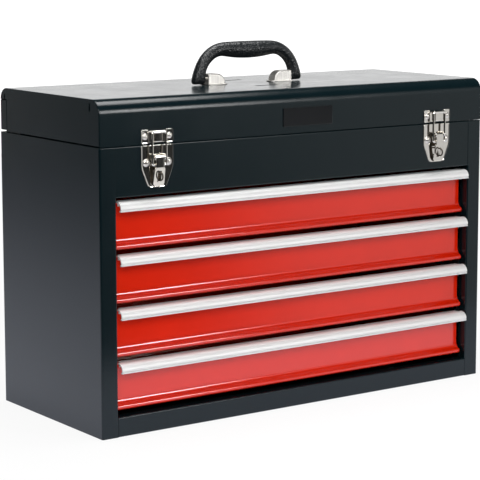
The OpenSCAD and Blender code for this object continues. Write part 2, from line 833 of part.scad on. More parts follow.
// Places of the bracket's rivets, as [x, y], for the right-hand bracket
bracket_rivet_y = bracket_w / 2 + bracket_flange / 2;
bracket_rivet_places = [for (x = [bracket_x0 + rivet_out, bracket_x1 - rivet_in], s = [-1, 1])
    [x, handle_y + s * bracket_rivet_y]];
bracket_shank_r = 0.6 * bracket_rivet_r;

module bracket_rivet_holes() {
    on_both() for (p = bracket_rivet_places)
        rod_z(bracket_shank_r + rivet_gap, p[0], p[1], lid_z1 - sheet_t - past,
            lid_z1 + bracket_t + past);
}

module bracket_rivets() {
    color(nickel) on_both() for (p = bracket_rivet_places)
        translate([p[0], p[1], lid_z1 + bracket_t])
            rivet(bracket_rivet_r, bracket_rivet_r / 2, bracket_shank_r, bracket_t + sheet_t);
}

// Outline of a bracket from the front, drawn in by an inset, with its rounded inner end
module bracket_outline(inset, z0) {
    top = lid_z1 + bracket_h;
    intersection() {
        translate([bracket_x0 + bracket_r, top - bracket_r]) circle(bracket_r - inset);
        area([bracket_x0, top - bracket_r], [bracket_x1, top]);
    }
    area([bracket_x0 + inset, z0], [bracket_x1 - inset, top - bracket_r]);
    area([bracket_x0 + bracket_r, z0], [bracket_x1 - inset, top - inset]);
}

// Pressed bracket that houses one of the handle's pins
module handle_bracket() {
    wall_y = bracket_w / 2;
    flange_y = wall_y + bracket_flange;
    color(nickel) difference() {
        union() {
            along_y(handle_y - wall_y, handle_y + wall_y) bracket_outline(0, lid_z1);
            block([bracket_x0 + rivet_in, handle_y - flange_y, lid_z1],
                [bracket_x1, handle_y + flange_y, lid_z1 + bracket_t]);
        }
        along_y(handle_y - wall_y + bracket_t, handle_y + wall_y - bracket_t)
            bracket_outline(bracket_t, lid_z1 - past);
        rod_x(handle_pin_r + pin_gap, bracket_x0 + bracket_r, bracket_x1 + past, handle_y, pin_z);
        bracket_rivet_holes();
    }
}

// Moulded handle: feet round the pins, legs, shoulders and a grip that swells in its middle
module handle_grip() {
    bend_z = grip_z - shoulder_r;
    bend_x = leg_x - shoulder_r;
    color(black) translate([0, handle_y, 0]) on_both() difference() {
        union() {
            rod_x(heel_r, heel_x0, leg_x + heel_half, 0, pin_z);
            rod_z(leg_r, leg_x, 0, pin_z, bend_z);
            translate([bend_x, 0, bend_z]) rotate([90, 0, 0])
                rotate_extrude(angle = 90) translate([shoulder_r, 0]) circle(leg_r);
            rod_x(grip_r, 0, grip_l / 2, 0, grip_z);
            translate([grip_l / 2, 0, grip_z]) rotate([0, 90, 0])
                cylinder(r1 = grip_r, r2 = leg_r, h = bend_x - grip_l / 2);
        }
        rod_x(handle_pin_r + rivet_gap, heel_x0 - past, heel_x0 + pin_seat, 0, pin_z);
    }
}

// Pins fixed in the feet, each with a head inside its bracket
module handle_pins() {
    head_x = bracket_x1 - bracket_t - pass_clear - pin_head_t;
    color(nickel) translate([0, handle_y, 0]) on_both() {
        rod_x(handle_pin_r, bracket_x1 - handle_pin_l, heel_x0 + pin_seat, 0, pin_z);
        rod_x(pin_head_r, head_x, head_x + pin_head_t, 0, pin_z);
    }
}

// ---- nodes ---------------------------------------------------------------------------------

for (s = sides) {
    on_side(s) side_panel();
    on_side(s) slide_posts();
    on_side(s) latch_plate();
    on_side(s) lid_end();
    on_side(s) keeper();
    on_side(s) handle_bracket();
    on_side(s) latch_lever();
    on_side(s) latch_bail();
}
for (n = [1:drawer_count]) {
    slide_outer(n);
    drawer_tray(n);
    drawer_front(n);
    drawer_pull(n);
    slide_inner(n);
    slide_cage(n);
    slide_balls(n);
}
back_panel();
base_pan();
front_panel();
tray_floor();
hinge_leaf_case();
hinge_pin();
latch_rivets(plate_rivets, plate_rivet_r);  // latch_plate_rivets
latch_pins();
lid_panel();
hinge_leaf_lid();
latch_rivets(keeper_rivets, keeper_rivet_r);
bracket_rivets();
badge_plate();
handle_grip();
handle_pins();
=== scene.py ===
import math

import bmesh
import bpy
from mathutils import Matrix, Vector


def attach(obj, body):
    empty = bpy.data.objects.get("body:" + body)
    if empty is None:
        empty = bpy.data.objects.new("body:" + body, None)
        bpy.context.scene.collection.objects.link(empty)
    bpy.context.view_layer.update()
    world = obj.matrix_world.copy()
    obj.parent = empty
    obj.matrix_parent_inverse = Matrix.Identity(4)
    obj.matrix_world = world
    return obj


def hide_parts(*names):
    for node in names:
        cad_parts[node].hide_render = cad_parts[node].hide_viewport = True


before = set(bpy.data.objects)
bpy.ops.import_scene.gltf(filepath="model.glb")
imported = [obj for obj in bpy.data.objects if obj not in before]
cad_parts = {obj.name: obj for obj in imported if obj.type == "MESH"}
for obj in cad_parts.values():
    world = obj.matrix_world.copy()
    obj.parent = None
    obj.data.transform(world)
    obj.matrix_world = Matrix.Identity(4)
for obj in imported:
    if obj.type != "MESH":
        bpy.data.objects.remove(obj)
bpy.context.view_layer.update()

# ---- side panels ----
# One steel sheet per side: the outer wall, the stile beside the drawers, the fold round the
# drawer opening and the folds along the top edge, bent on a press brake and powder-coated in
# textured charcoal. Every sheet piece is drawn in millimetres as its outer skin.
MM = 0.001
NEAR = 0.01
MERGE = 0.001
SHARP = math.radians(40)
SHEET_T = 1.0
HALF_W = 260.0
FRONT_Y = -105.0
BACK_Y = 105.0
CASE_H = 304.0
OPEN_HALF = 240.5
OPEN_Z0 = 21.0
OPEN_Z1 = 251.2
FOLD_R = 1.5
CORNER_R = 2.0
RETURN_D = 12.0
TOP_FOLD_W = 8.0
TOP_FOLD_END_Y = 92.0
SHEET_EDGE = 0.2
CHARCOAL = (0.0022, 0.0082, 0.0106, 1.0)
GLOSS_ROUGHNESS = 0.13
GLOSS_IOR = 1.68
NOISE_SPAN = (0.3, 0.7)
UNEVEN_TONE = 0.8
SIDES = ("right", "left")
X_AXIS = Vector((1, 0, 0))
Y_AXIS = Vector((0, 1, 0))
Z_AXIS = Vector((0, 0, 1))


def add_node(tree, kind, sockets=None, **settings):
    """Adds a shader node, with its settings, and gives its sockets values or links."""
    made = tree.nodes.new(kind)
    for name, value in settings.items():
        setattr(made, name, value)
    for name, value in (sockets or {}).items():
        if isinstance(value, bpy.types.NodeSocket):
            tree.links.new(value, made.inputs[name])
        else:
            made.inputs[name].default_value = value
    return made


def set_values(node, values):
    """Gives a node's own sockets their values."""
    for socket, value in values.items():
        node.inputs[socket].default_value = value


def coordinate(tree, kind="Object"):
    """Where on a piece a ray lands, or the way that its face or the ray looks."""
    return add_node(tree, "ShaderNodeTexCoord").outputs[kind]


def ramp(tree, value, span, low=0.0, high=1.0, kind="LINEAR"):
    """Turns a value that crosses a span into one that goes from low to high."""
    return add_node(tree, "ShaderNodeMapRange",
                    {"Value": value, "From Min": span[0], "From Max": span[1],
                     "To Min": low, "To Max": high}, interpolation_type=kind).outputs["Result"]


def noise(tree, place, scale, detail, roughness):
    """Soft noise over a place, most of it within the noise span."""
    return add_node(tree, "ShaderNodeTexNoise",
                    {"Vector": place, "Scale": scale, "Detail": detail,
                     "Roughness": roughness}).outputs["Fac"]


def reckon(tree, operation, *values, **settings):
    """One step of arithmetic."""
    return add_node(tree, "ShaderNodeMath", dict(enumerate(values)), operation=operation,
                    **settings).outputs[0]


def relief(tree, height, strength, distance, **more):
    """A normal for a height in metres; more may hold a normal that it builds on."""
    return add_node(tree, "ShaderNodeBump", {"Strength": strength, "Distance": distance,
                                             "Height": height, **more}).outputs["Normal"]


def shaded(tree, color, value):
    """A colour made lighter or darker."""
    return add_node(tree, "ShaderNodeHueSaturation",
                    {"Color": color, "Value": value}).outputs["Color"]


def effect_group(name, **inputs):
    """Starts a node group that makes a colour, a roughness and a normal from its inputs."""
    kinds = {1: "NodeSocketFloat", 3: "NodeSocketVector", 4: "NodeSocketColor"}
    group = bpy.data.node_groups.new(name, "ShaderNodeTree")
    for socket, value in inputs.items():
        kind = kinds[len(value) if isinstance(value, tuple) else 1]
        group.interface.new_socket(socket, in_out="INPUT", socket_type=kind).default_value = value
    for socket, width in (("Color", 4), ("Roughness", 1), ("Normal", 3)):
        group.interface.new_socket(socket, in_out="OUTPUT", socket_type=kinds[width])
    return group, add_node(group, "NodeGroupInput").outputs, add_node(group, "NodeGroupOutput")


def connect(tree, node, color, roughness, normal, color_socket="Color"):
    """Feeds a node's colour, roughness and normal."""
    for name, socket in ((color_socket, color), ("Roughness", roughness), ("Normal", normal)):
        tree.links.new(socket, node.inputs[name])


def powder_coat_group():
    """Powder coat: fine texture and a wider orange peel as a normal, and an uneven sheen."""
    group, given, out = effect_group("Powder coat", Color=(0.5, 0.5, 0.5, 1.0), Roughness=0.4,
                                     Texture=0.3, Peel=0.2, Uneven=0.05)
    place = coordinate(group)
    cloud = noise(group, place, scale=24.0, detail=4.0, roughness=0.6)
    grit = noise(group, place, scale=1000.0, detail=2.0, roughness=0.5)
    waves = noise(group, place, scale=420.0, detail=1.0, roughness=0.4)
    swing = reckon(group, "MULTIPLY", ramp(group, cloud, NOISE_SPAN, -1.0, 1.0), given["Uneven"])
    sheen = reckon(group, "ADD", given["Roughness"], swing, use_clamp=True)
    value = reckon(group, "MULTIPLY_ADD", swing, UNEVEN_TONE, 1.0)
    peel = relief(group, waves, given["Peel"], distance=0.0004)
    texture = relief(group, grit, given["Texture"], distance=0.0001, Normal=peel)
    connect(group, out, shaded(group, given["Color"], value), sheen, texture)
    return group


def new_material(name):
    """A node material with its Principled shader; returns the material, tree and shader."""
    material = bpy.data.materials.new(name)
    material.use_nodes = True
    return material, material.node_tree, material.node_tree.nodes["Principled BSDF"]


def effect_material(name, group, **inputs):
    """A material whose shader is fed by an effect group; returns the material and shader."""
    material, tree, shader = new_material(name)
    effect = add_node(tree, "ShaderNodeGroup", node_tree=group)
    set_values(effect, inputs)
    connect(tree, shader, *effect.outputs, color_socket="Base Color")
    return material, shader


def powder_coated(name, color, roughness, texture, peel, uneven, level=0.35, coat=0.0):
    """Powder-coated steel of one colour and gloss, with a clear gloss over it if asked for."""
    material, shader = effect_material(name, POWDER_COAT, Color=color, Roughness=roughness,
                                       Texture=texture, Peel=peel, Uneven=uneven)
    set_values(shader, {"Specular IOR Level": level, "Coat Weight": coat,
                        "Coat Roughness": GLOSS_ROUGHNESS, "Coat IOR": GLOSS_IOR})
    return material


def first_line(bm, ends, stops=()):
    """Starts a sheet with a straight edge between two ends, divided at the stops (0 to 1)."""
    start, end = (Vector(p) for p in ends)
    verts = [bm.verts.new(start.lerp(end, t)) for t in (0.0, *stops, 1.0)]
    return [bm.edges.new(pair) for pair in zip(verts, verts[1:])]


def only(kind, geom):
    """The points, edges or faces among what an operator made."""
    return [g for g in geom if isinstance(g, kind)]


def run_on(bm, edges, step):
    """Runs a sheet straight on from its edges, and gives back the new leading edges."""
    made = bmesh.ops.extrude_edge_only(bm, edges=edges)["geom"]
    verts = only(bmesh.types.BMVert, made)
    bmesh.ops.translate(bm, vec=step, verts=verts)
    return [e for e in only(bmesh.types.BMEdge, made) if all(v in verts for v in e.verts)]


def bend(bm, edges, ahead, toward, radius, degrees=90.0, steps=4):
    """Bends a sheet that runs ahead, toward another direction, and gives back its new edges."""
    ahead, toward = Vector(ahead), Vector(toward)
    start = sum((v.co for e in edges for v in e.verts), Vector()) / (2 * len(edges))
    made = bmesh.ops.spin(bm, geom=edges, cent=start + toward * radius, steps=steps,
                          axis=ahead.cross(toward), dvec=(0, 0, 0),
                          angle=math.radians(degrees), use_merge=False, use_duplicate=False)
    return only(bmesh.types.BMEdge, made["geom_last"])


def fold_over(bm, edges, ahead, toward, radius, depth):
    """Bends a sheet square and runs it on; depth is what it measures over the bend."""
    return run_on(bm, bend(bm, edges, ahead, toward, radius), toward * (depth - radius))


def border(bm, **place):
    """Open edges of a sheet at the given coordinates, or between pairs of them."""
    def lies(v):
        return all(want[0] - NEAR < getattr(v.co, axis) < want[1] + NEAR
                   if isinstance(want, tuple) else abs(getattr(v.co, axis) - want) < NEAR
                   for axis, want in place.items())
    return [e for e in bm.edges if len(e.link_faces) < 2 and all(lies(v) for v in e.verts)]


def face_outward(bm):
    """Makes the faces of closed solids point outward."""
    bmesh.ops.recalc_face_normals(bm, faces=bm.faces)


def turn_outward(bm, inside):
    """Makes a sheet's faces point away from a place inside the tool box."""
    face_outward(bm)
    away = sum(f.calc_area() * f.normal.dot(f.calc_center_median() - Vector(inside))
               for f in bm.faces)
    if away < 0:
        bmesh.ops.reverse_faces(bm, faces=bm.faces)


def to_side(bm, side):
    """Mirrors a piece drawn on the right, if it belongs on the left."""
    if side == "left":
        bmesh.ops.scale(bm, vec=(-1, 1, 1), verts=bm.verts)
        bmesh.ops.reverse_faces(bm, faces=bm.faces)


def as_object(name, bm, material):
    """Turns a mesh into an object of the scene and gives it its finish."""
    mesh = bpy.data.meshes.new(name)
    bm.to_mesh(mesh)
    bm.free()
    mesh.materials.append(material)
    made = bpy.data.objects.new(name, mesh)
    bpy.context.scene.collection.objects.link(made)
    return made


def make_piece(name, bm, material, body, slot, nodes=(), thickness=0.0, edge=0.0, segments=2):
    """Finishes a mesh drawn in millimetres as a piece: its metres, edges, finish and body."""
    bmesh.ops.remove_doubles(bm, verts=bm.verts, dist=MERGE)
    bmesh.ops.scale(bm, vec=(MM, MM, MM), verts=bm.verts)
    piece = as_object(name, bm, material)
    piece.data.shade_smooth()
    if thickness:
        wall = piece.modifiers.new("Sheet", "SOLIDIFY")
        wall.thickness = thickness * MM
        wall.offset = -1.0
        wall.use_even_offset = True
    if edge:
        rim = piece.modifiers.new("Edges", "BEVEL")
        rim.width = edge * MM
        rim.segments = segments
        rim.limit_method = "ANGLE"
        rim.angle_limit = SHARP
    shading = piece.modifiers.new("Shading", "WEIGHTED_NORMAL")
    shading.keep_sharp = True
    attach(piece, body)
    if nodes:
        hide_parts(*nodes)
    return piece


def charcoal_sheet(name, bm, node, body="case", thickness=SHEET_T, edge=SHEET_EDGE):
    """Finishes a charcoal sheet that takes the place of a CAD node."""
    return make_piece(name, bm, charcoal, body, "case_charcoal", [node], thickness, edge)


POWDER_COAT = powder_coat_group()
charcoal = powder_coated("Charcoal powder coat", CHARCOAL, roughness=0.20, texture=0.45,
                         peel=0.06, uneven=0.02)

for side in SIDES:
    bm = bmesh.new()
    tangent_x, top_z = OPEN_HALF + FOLD_R, CASE_H - FOLD_R
    stile = first_line(bm, ((tangent_x, FRONT_Y, 0), (tangent_x, FRONT_Y, top_z)),
                       [z / top_z for z in (OPEN_Z0, OPEN_Z1)])
    stile = run_on(bm, stile, (HALF_W - CORNER_R - tangent_x, 0, 0))
    wall = bend(bm, stile, X_AXIS, Y_AXIS, CORNER_R, steps=6)
    wall = run_on(bm, wall, (0, TOP_FOLD_END_Y - FRONT_Y - CORNER_R, 0))
    run_on(bm, wall, (0, BACK_Y - TOP_FOLD_END_Y, 0))
    for height in ((0, OPEN_Z0), (OPEN_Z1, CASE_H)):
        run_on(bm, border(bm, x=tangent_x, z=height), (-FOLD_R, 0, 0))
    fold_over(bm, border(bm, x=tangent_x, z=(OPEN_Z0, OPEN_Z1)), -X_AXIS, Y_AXIS, FOLD_R,
              RETURN_D)
    front_top = border(bm, y=FRONT_Y, z=top_z)
    side_top = border(bm, x=HALF_W, z=top_z, y=(FRONT_Y, TOP_FOLD_END_Y))
    rest = [e for e in border(bm, z=top_z) if e not in front_top + side_top]
    run_on(bm, rest, (0, 0, FOLD_R))
    for edges, toward in ((front_top, Y_AXIS), (side_top, -X_AXIS)):
        fold_over(bm, edges, Z_AXIS, toward, FOLD_R, TOP_FOLD_W)
    turn_outward(bm, (0, 0, CASE_H / 2))
    to_side(bm, side)
    charcoal_sheet(f"case_side_{side}", bm, f"side_{side}")

# ---- front panel ----
# The sheet over the drawers, between the stiles: folded back under itself over the drawer
# opening and along its top edge, and spot-welded to tabs behind the stiles.
SEAM_GAP = 0.3
PANEL_HALF = OPEN_HALF - SEAM_GAP
TAB_IN = 6.0


def line_across(bm, half, y, z, middle=0.0):
    """Starts a sheet with an edge that reaches half its width to either side of a middle."""
    return first_line(bm, ((middle - half, y, z), (middle + half, y, z)))


bm = bmesh.new()
foot_z, head_z = OPEN_Z1 + FOLD_R, CASE_H - FOLD_R
low = line_across(bm, PANEL_HALF, FRONT_Y, foot_z)
high = run_on(bm, low, (0, 0, head_z - foot_z))
fold_over(bm, high, Z_AXIS, Y_AXIS, FOLD_R, TOP_FOLD_W)
fold_over(bm, border(bm, y=FRONT_Y, z=foot_z), -Z_AXIS, Y_AXIS, FOLD_R, RETURN_D)
turn_outward(bm, (0, 0, CASE_H / 2))
for x in (-PANEL_HALF - 2 * TAB_IN, PANEL_HALF - TAB_IN):
    tab = first_line(bm, ((x, FRONT_Y + SHEET_T, foot_z), (x, FRONT_Y + SHEET_T, head_z)))
    run_on(bm, tab, (3 * TAB_IN, 0, 0))
charcoal_sheet("case_front_panel", bm, "front_panel")

# ---- base pan ----
# One sheet: the front rail under the drawers, folded back over its top edge, and the floor,
# with flanges turned up inside the sides and the back panel to weld them to.
SIDE_IN = HALF_W - SHEET_T
FLANGE_H = 12.0
PAN_R = 1.2
PAN_LIFT = 0.05

bm = bmesh.new()
low = line_across(bm, PANEL_HALF, FRONT_Y, PAN_R)
high = run_on(bm, low, (0, 0, OPEN_Z0 - FOLD_R - PAN_R))
fold_over(bm, high, Z_AXIS, Y_AXIS, FOLD_R, RETURN_D)
lip = fold_over(bm, border(bm, y=FRONT_Y, z=PAN_R), -Z_AXIS, Y_AXIS, PAN_R, 2 * SHEET_T)
floor_y = (FRONT_Y + 2 * SHEET_T, BACK_Y - SHEET_T - PAN_R)
back = run_on(bm, lip, (0, floor_y[1] - floor_y[0], 0))
fold_over(bm, back, Y_AXIS, Z_AXIS, PAN_R, FLANGE_H)
for x, out in ((PANEL_HALF, X_AXIS), (-PANEL_HALF, -X_AXIS)):
    edge = run_on(bm, border(bm, x=x, z=0, y=floor_y), out * (SIDE_IN - PAN_R - PANEL_HALF))
    fold_over(bm, edge, out, Z_AXIS, PAN_R, FLANGE_H)
turn_outward(bm, (0, 0, CASE_H / 2))
bmesh.ops.translate(bm, vec=(0, 0, PAN_LIFT), verts=bm.verts)
charcoal_sheet("case_base_pan", bm, "base_pan")

# ---- back panel ----
# A plain steel sheet welded between the sides, with a welding flange turned forward along each
# side of the drawer bay, powder-coated with the rest of the case.
BACK_FLANGE_Z = (13.3, 250.2)
BACK_R = 1.2

bm = bmesh.new()
levels = [z / CASE_H for z in BACK_FLANGE_Z]
tangent_x = SIDE_IN - BACK_R
line = first_line(bm, ((-tangent_x, BACK_Y, 0), (-tangent_x, BACK_Y, CASE_H)), levels)
run_on(bm, line, (2 * tangent_x, 0, 0))
for x, out in ((tangent_x, X_AXIS), (-tangent_x, -X_AXIS)):
    for height in ((0, BACK_FLANGE_Z[0]), (BACK_FLANGE_Z[1], CASE_H)):
        run_on(bm, border(bm, x=x, z=height), out * BACK_R)
    fold_over(bm, border(bm, x=x, z=BACK_FLANGE_Z), out, -Y_AXIS, BACK_R, FLANGE_H + BACK_R)
turn_outward(bm, (0, 0, CASE_H / 2))
charcoal_sheet("case_back_panel", bm, "back_panel")

# ---- compartment floor ----
# Floor of the open compartment under the lid: a tray with turned-up flanges, resting on the
# front panel's lower fold and welded to the sides and the back.
TRAY_Z = OPEN_Z1 + SHEET_T

bm = bmesh.new()
floor_y = (FRONT_Y + 2 * SHEET_T + SEAM_GAP, BACK_Y - SHEET_T - PAN_R)
line = line_across(bm, tangent_x, floor_y[0], TRAY_Z)
back = run_on(bm, line, (0, floor_y[1] - floor_y[0], 0))
for edge, out in ((back, Y_AXIS), (border(bm, x=tangent_x), X_AXIS),
                  (border(bm, x=-tangent_x), -X_AXIS)):
    fold_over(bm, edge, out, Z_AXIS, BACK_R, FLANGE_H)
turn_outward(bm, (0, 0, CASE_H))
charcoal_sheet("case_tray_floor", bm, "tray_floor")

# ---- slides and posts ----
# Ball-bearing slides of roll-formed zinc-plated steel on hat-section posts: outer rails on the
# posts, inner rails on the drawers, and pressed cages with steel balls between them.
ZINC = (0.44, 0.47, 0.50, 1.0)
STEEL = (0.60, 0.60, 0.60, 1.0)


def rolled_metal_group():
    """Rolling or polishing lines along one way of the metal, and its cloudy sheen."""
    group, given, out = effect_group("Rolled metal", Color=(0.6, 0.6, 0.6, 1.0), Roughness=0.3,
                                     Lines=(10.0, 900.0, 900.0), Depth=0.1, Cloud=0.06, Tint=0.08)
    place = coordinate(group)
    along = add_node(group, "ShaderNodeVectorMath", {0: place, 1: given["Lines"]},
                     operation="MULTIPLY").outputs["Vector"]
    line = noise(group, along, scale=1.0, detail=3.0, roughness=0.65)
    cloud = noise(group, place, scale=70.0, detail=4.0, roughness=0.6)
    swing = reckon(group, "MULTIPLY", ramp(group, cloud, NOISE_SPAN, -1.0, 1.0), given["Cloud"])
    sheen = reckon(group, "ADD", given["Roughness"], swing, use_clamp=True)
    streak = ramp(group, line, (0.25, 0.75), -1.0, 1.0)
    value = reckon(group, "ADD", reckon(group, "MULTIPLY", streak, given["Tint"]), 1.0)
    connect(group, out, shaded(group, given["Color"], value), sheen,
            relief(group, line, given["Depth"], distance=0.0001))
    return group


def plain_metal(name, color, roughness, lines, depth, cloud, tint, metallic=1.0):
    """A bare or plated metal with its lines and sheen."""
    material, shader = effect_material(name, ROLLED_METAL, Color=color, Roughness=roughness,
                                       Lines=lines, Depth=depth, Cloud=cloud, Tint=tint)
    set_values(shader, {"Metallic": metallic})
    return material


def give_finish(nodes, material):
    """Gives CAD nodes that keep their own shape a finish."""
    for name in nodes:
        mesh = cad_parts[name].data
        mesh.materials.clear()
        mesh.materials.append(material)


ROLLED_METAL = rolled_metal_group()
zinc = plain_metal("Zinc-plated steel", ZINC, roughness=0.34, lines=(1100, 14, 1100),
                   depth=0.15, cloud=0.10, tint=0.12)
ball_steel = plain_metal("Ball steel", STEEL, roughness=0.08, lines=(500, 500, 500),
                         depth=0.02, cloud=0.03, tint=0.03)
drawer_numbers = (1, 2, 3, 4)
give_finish(["slide_posts_left", "slide_posts_right"], zinc)
for n in drawer_numbers:
    give_finish([f"slide_outer_{n}", f"slide_inner_{n}", f"slide_cage_{n}"], zinc)
    give_finish([f"slide_balls_{n}"], ball_steel)

# ---- rear hinge ----
# Piano hinge of zinc-plated steel: a leaf inside each rear wall and a row of knuckles on a pin
# in the gap between them.
pin_steel = plain_metal("Pin steel", STEEL, roughness=0.22, lines=(20, 1400, 1400),
                        depth=0.10, cloud=0.05, tint=0.08)
give_finish(["hinge_leaf_case", "hinge_leaf_lid"], zinc)
give_finish(["hinge_pin"], pin_steel)

# ---- lid ----
# Front, top and rear of the lid are one powder-coated sheet with two wide bends. The two narrow
# slots are punched in the top, and the rear wall's ends wrap round onto the lid's ends.
LID_Z0 = 304.5
LID_Z1 = 352.5
LID_REAR_Z0 = 308.0
LID_BEND_R = 12.5
LID_FRONT_R = 15.0
LID_TAB_W = 13.4
LID_TAB_R = 0.99
LID_TAB_Z0 = 306.4
LID_TAB_Z1 = 339.0
SLOTS = ((-5.0, -42.0), (5.0, 42.0))
SLOT_L = 30.0
SLOT_W = 6.0


def divide(bm, axis, at):
    """Divides all of a mesh where it crosses a place on an axis."""
    bmesh.ops.bisect_plane(bm, geom=bm.verts[:] + bm.edges[:] + bm.faces[:],
                           plane_co=axis * at, plane_no=axis, dist=NEAR)


def punch(bm, low, high, axes):
    """Cuts a rectangular opening through a sheet, between two places on each of two axes."""
    for axis, bounds in zip(axes, zip(low, high)):
        for at in bounds:
            divide(bm, axis, at)
    holes = [f for f in bm.faces
             if all(a < f.calc_center_median().dot(axis) < b
                    for axis, a, b in zip(axes, low, high))]
    bmesh.ops.delete(bm, geom=holes, context="FACES")


bm = bmesh.new()
bend_z = LID_Z1 - LID_BEND_R
wall = line_across(bm, SIDE_IN, FRONT_Y, LID_Z0)
wall = run_on(bm, wall, (0, 0, LID_Z1 - LID_FRONT_R - LID_Z0))
top = bend(bm, wall, Z_AXIS, Y_AXIS, LID_FRONT_R, steps=16)
top = run_on(bm, top, (0, BACK_Y - FRONT_Y - LID_FRONT_R - LID_BEND_R, 0))
turn_outward(bm, (0, 0, LID_Z0))
for x, y in SLOTS:
    punch(bm, (x - SLOT_L / 2, y - SLOT_W / 2), (x + SLOT_L / 2, y + SLOT_W / 2),
          (X_AXIS, Y_AXIS))
rear = bend(bm, border(bm, y=BACK_Y - LID_BEND_R), Y_AXIS, -Z_AXIS, LID_BEND_R, steps=14)
rear = run_on(bm, rear, (0, 0, LID_TAB_Z1 - bend_z))
run_on(bm, rear, (0, 0, LID_REAR_Z0 - LID_TAB_Z1))
for x, out in ((SIDE_IN, X_AXIS), (-SIDE_IN, -X_AXIS)):
    fold_over(bm, border(bm, x=x, y=BACK_Y, z=(LID_REAR_Z0, LID_TAB_Z1)), out, -Y_AXIS,
              LID_TAB_R, LID_TAB_W)
    low = border(bm, z=LID_REAR_Z0, y=(BACK_Y - LID_TAB_W, BACK_Y - LID_TAB_R),
                 x=x + out.x * LID_TAB_R)
    run_on(bm, low, (0, 0, LID_TAB_Z0 - LID_REAR_Z0))
turn_outward(bm, (0, 0, LID_Z0))
charcoal_sheet("lid_shell", bm, "lid_panel", body="lid")

# ---- lid ends ----
# Each end is turned down from the top between two relief slits, which still show, and welded
# along the rounded corners. The rear corner is cut away for the rear wall's tab, with a lap
# of the same sheet behind the joint.
RELIEF_IN = 18.8
RELIEF_H = 8.0
RELIEF_W = 2.4
REAR_RELIEF_IN = 10.0
REAR_RELIEF_UP = 0.3
REAR_RELIEF_H = 5.0
LAP_IN = 3.0
LAP = ((66.0, 304.05), (97.5, 341.5))
END_R = 0.9
END_Z0 = 305.3
TAB_GAP = 1.3
THIN_T = 0.8


def outline(bm, points):
    """Adds a flat face through points in one plane."""
    return bm.faces.new([bm.verts.new(p) for p in points])


def rectangle(low, high):
    """The four corners of a rectangle, in order."""
    return low, (high[0], low[1]), high, (low[0], high[1])


def round_off(bm, geom, radius, segments, affect="EDGES"):
    """Rounds edges or corners off."""
    bmesh.ops.bevel(bm, geom=geom, offset=radius, offset_type="OFFSET", segments=segments,
                    profile=0.5, affect=affect, material=-1)


def round_corners(bm, places, radius, segments=5):
    """Rounds the corners of a flat outline at the given places."""
    corners = [v for v in bm.verts for p in places if (v.co - Vector(p)).length < NEAR]
    round_off(bm, corners, radius, segments, "VERTICES")


for side in SIDES:
    bm = bmesh.new()
    notch_y, notch_z = BACK_Y - LID_TAB_W - TAB_GAP, LID_TAB_Z1 + TAB_GAP
    outline(bm, [(HALF_W, y, z) for y, z in (
        (FRONT_Y, END_Z0), (notch_y, END_Z0), (notch_y, notch_z), (BACK_Y, notch_z),
        (BACK_Y, LID_Z1), (FRONT_Y, LID_Z1))])
    for corner_y, radius in ((FRONT_Y, LID_FRONT_R), (BACK_Y, LID_BEND_R)):
        round_corners(bm, [(HALF_W, corner_y, LID_Z1)], radius, segments=16)
    rim = [e for e in bm.edges if not all(v.co.z < END_Z0 + NEAR for v in e.verts)
           and not all(v.co.y > notch_y - NEAR and v.co.z < notch_z + NEAR for v in e.verts)]
    run_on(bm, rim, (-SHEET_T, 0, 0))
    folds = [e for e in bm.edges if len(e.link_faces) == 2
             and all(abs(v.co.x - HALF_W) < NEAR for v in e.verts)]
    round_off(bm, folds, END_R, segments=4)
    turn_outward(bm, (0, 0, LID_Z0))
    for y, z, height in ((FRONT_Y + RELIEF_IN, bend_z, RELIEF_H),
                         (BACK_Y - REAR_RELIEF_IN, notch_z + REAR_RELIEF_UP, REAR_RELIEF_H)):
        punch(bm, (y - RELIEF_W / 2, z), (y + RELIEF_W / 2, z + height), (Y_AXIS, Z_AXIS))
    outline(bm, [(HALF_W - LAP_IN, y, z) for y, z in rectangle(*LAP)])
    to_side(bm, side)
    plate = charcoal_sheet(f"lid_end_plate_{side}", bm, f"lid_end_{side}", body="lid",
                           thickness=THIN_T, edge=0.0)
    plate.data.shade_flat()

# ---- badge plate ----
# A bare black-painted plate of thin aluminium glued to the lid's front, with a thin raised
# border pressed round its edge.
BADGE_X = 5.0
BADGE_W = 67.0
BADGE_H = 20.0
BADGE_T = 1.2
BADGE_Z = 322.25
BADGE_RIM_W = 1.0
BADGE_PRESSED_D = 0.35
SMALL_EDGE = 0.25
BADGE = (0.0060, 0.0068, 0.0080, 1.0)


def pull_out(bm, step):
    """Pulls the flat outline that a mesh holds so far out into a closed solid."""
    made = bmesh.ops.extrude_face_region(bm, geom=bm.faces[:])["geom"]
    bmesh.ops.translate(bm, vec=step, verts=only(bmesh.types.BMVert, made))
    return only(bmesh.types.BMFace, made)[0]


def pressed_plate(bm, points, corners, thickness, rim, depth):
    """A flat plate on the front with rounded corners, whose middle is pressed back."""
    outline(bm, points)
    for places, radius in corners:
        round_corners(bm, places, radius)
    front = pull_out(bm, (0, -thickness, 0))
    bmesh.ops.inset_region(bm, faces=[front], thickness=rim)
    bmesh.ops.translate(bm, vec=(0, depth, 0), verts=front.verts)


badge_black = powder_coated("Badge lacquer", BADGE, roughness=0.34, texture=0.10, peel=0.03,
                            uneven=0.04, level=0.15)
bm = bmesh.new()
corners = rectangle((BADGE_X - BADGE_W / 2, BADGE_Z - BADGE_H / 2),
                    (BADGE_X + BADGE_W / 2, BADGE_Z + BADGE_H / 2))
pressed_plate(bm, [(x, FRONT_Y, z) for x, z in corners], (), BADGE_T, BADGE_RIM_W,
              BADGE_PRESSED_D)
face_outward(bm)
make_piece("lid_badge", bm, badge_black, "lid", "badge_black", ["badge_plate"], edge=SMALL_EDGE)

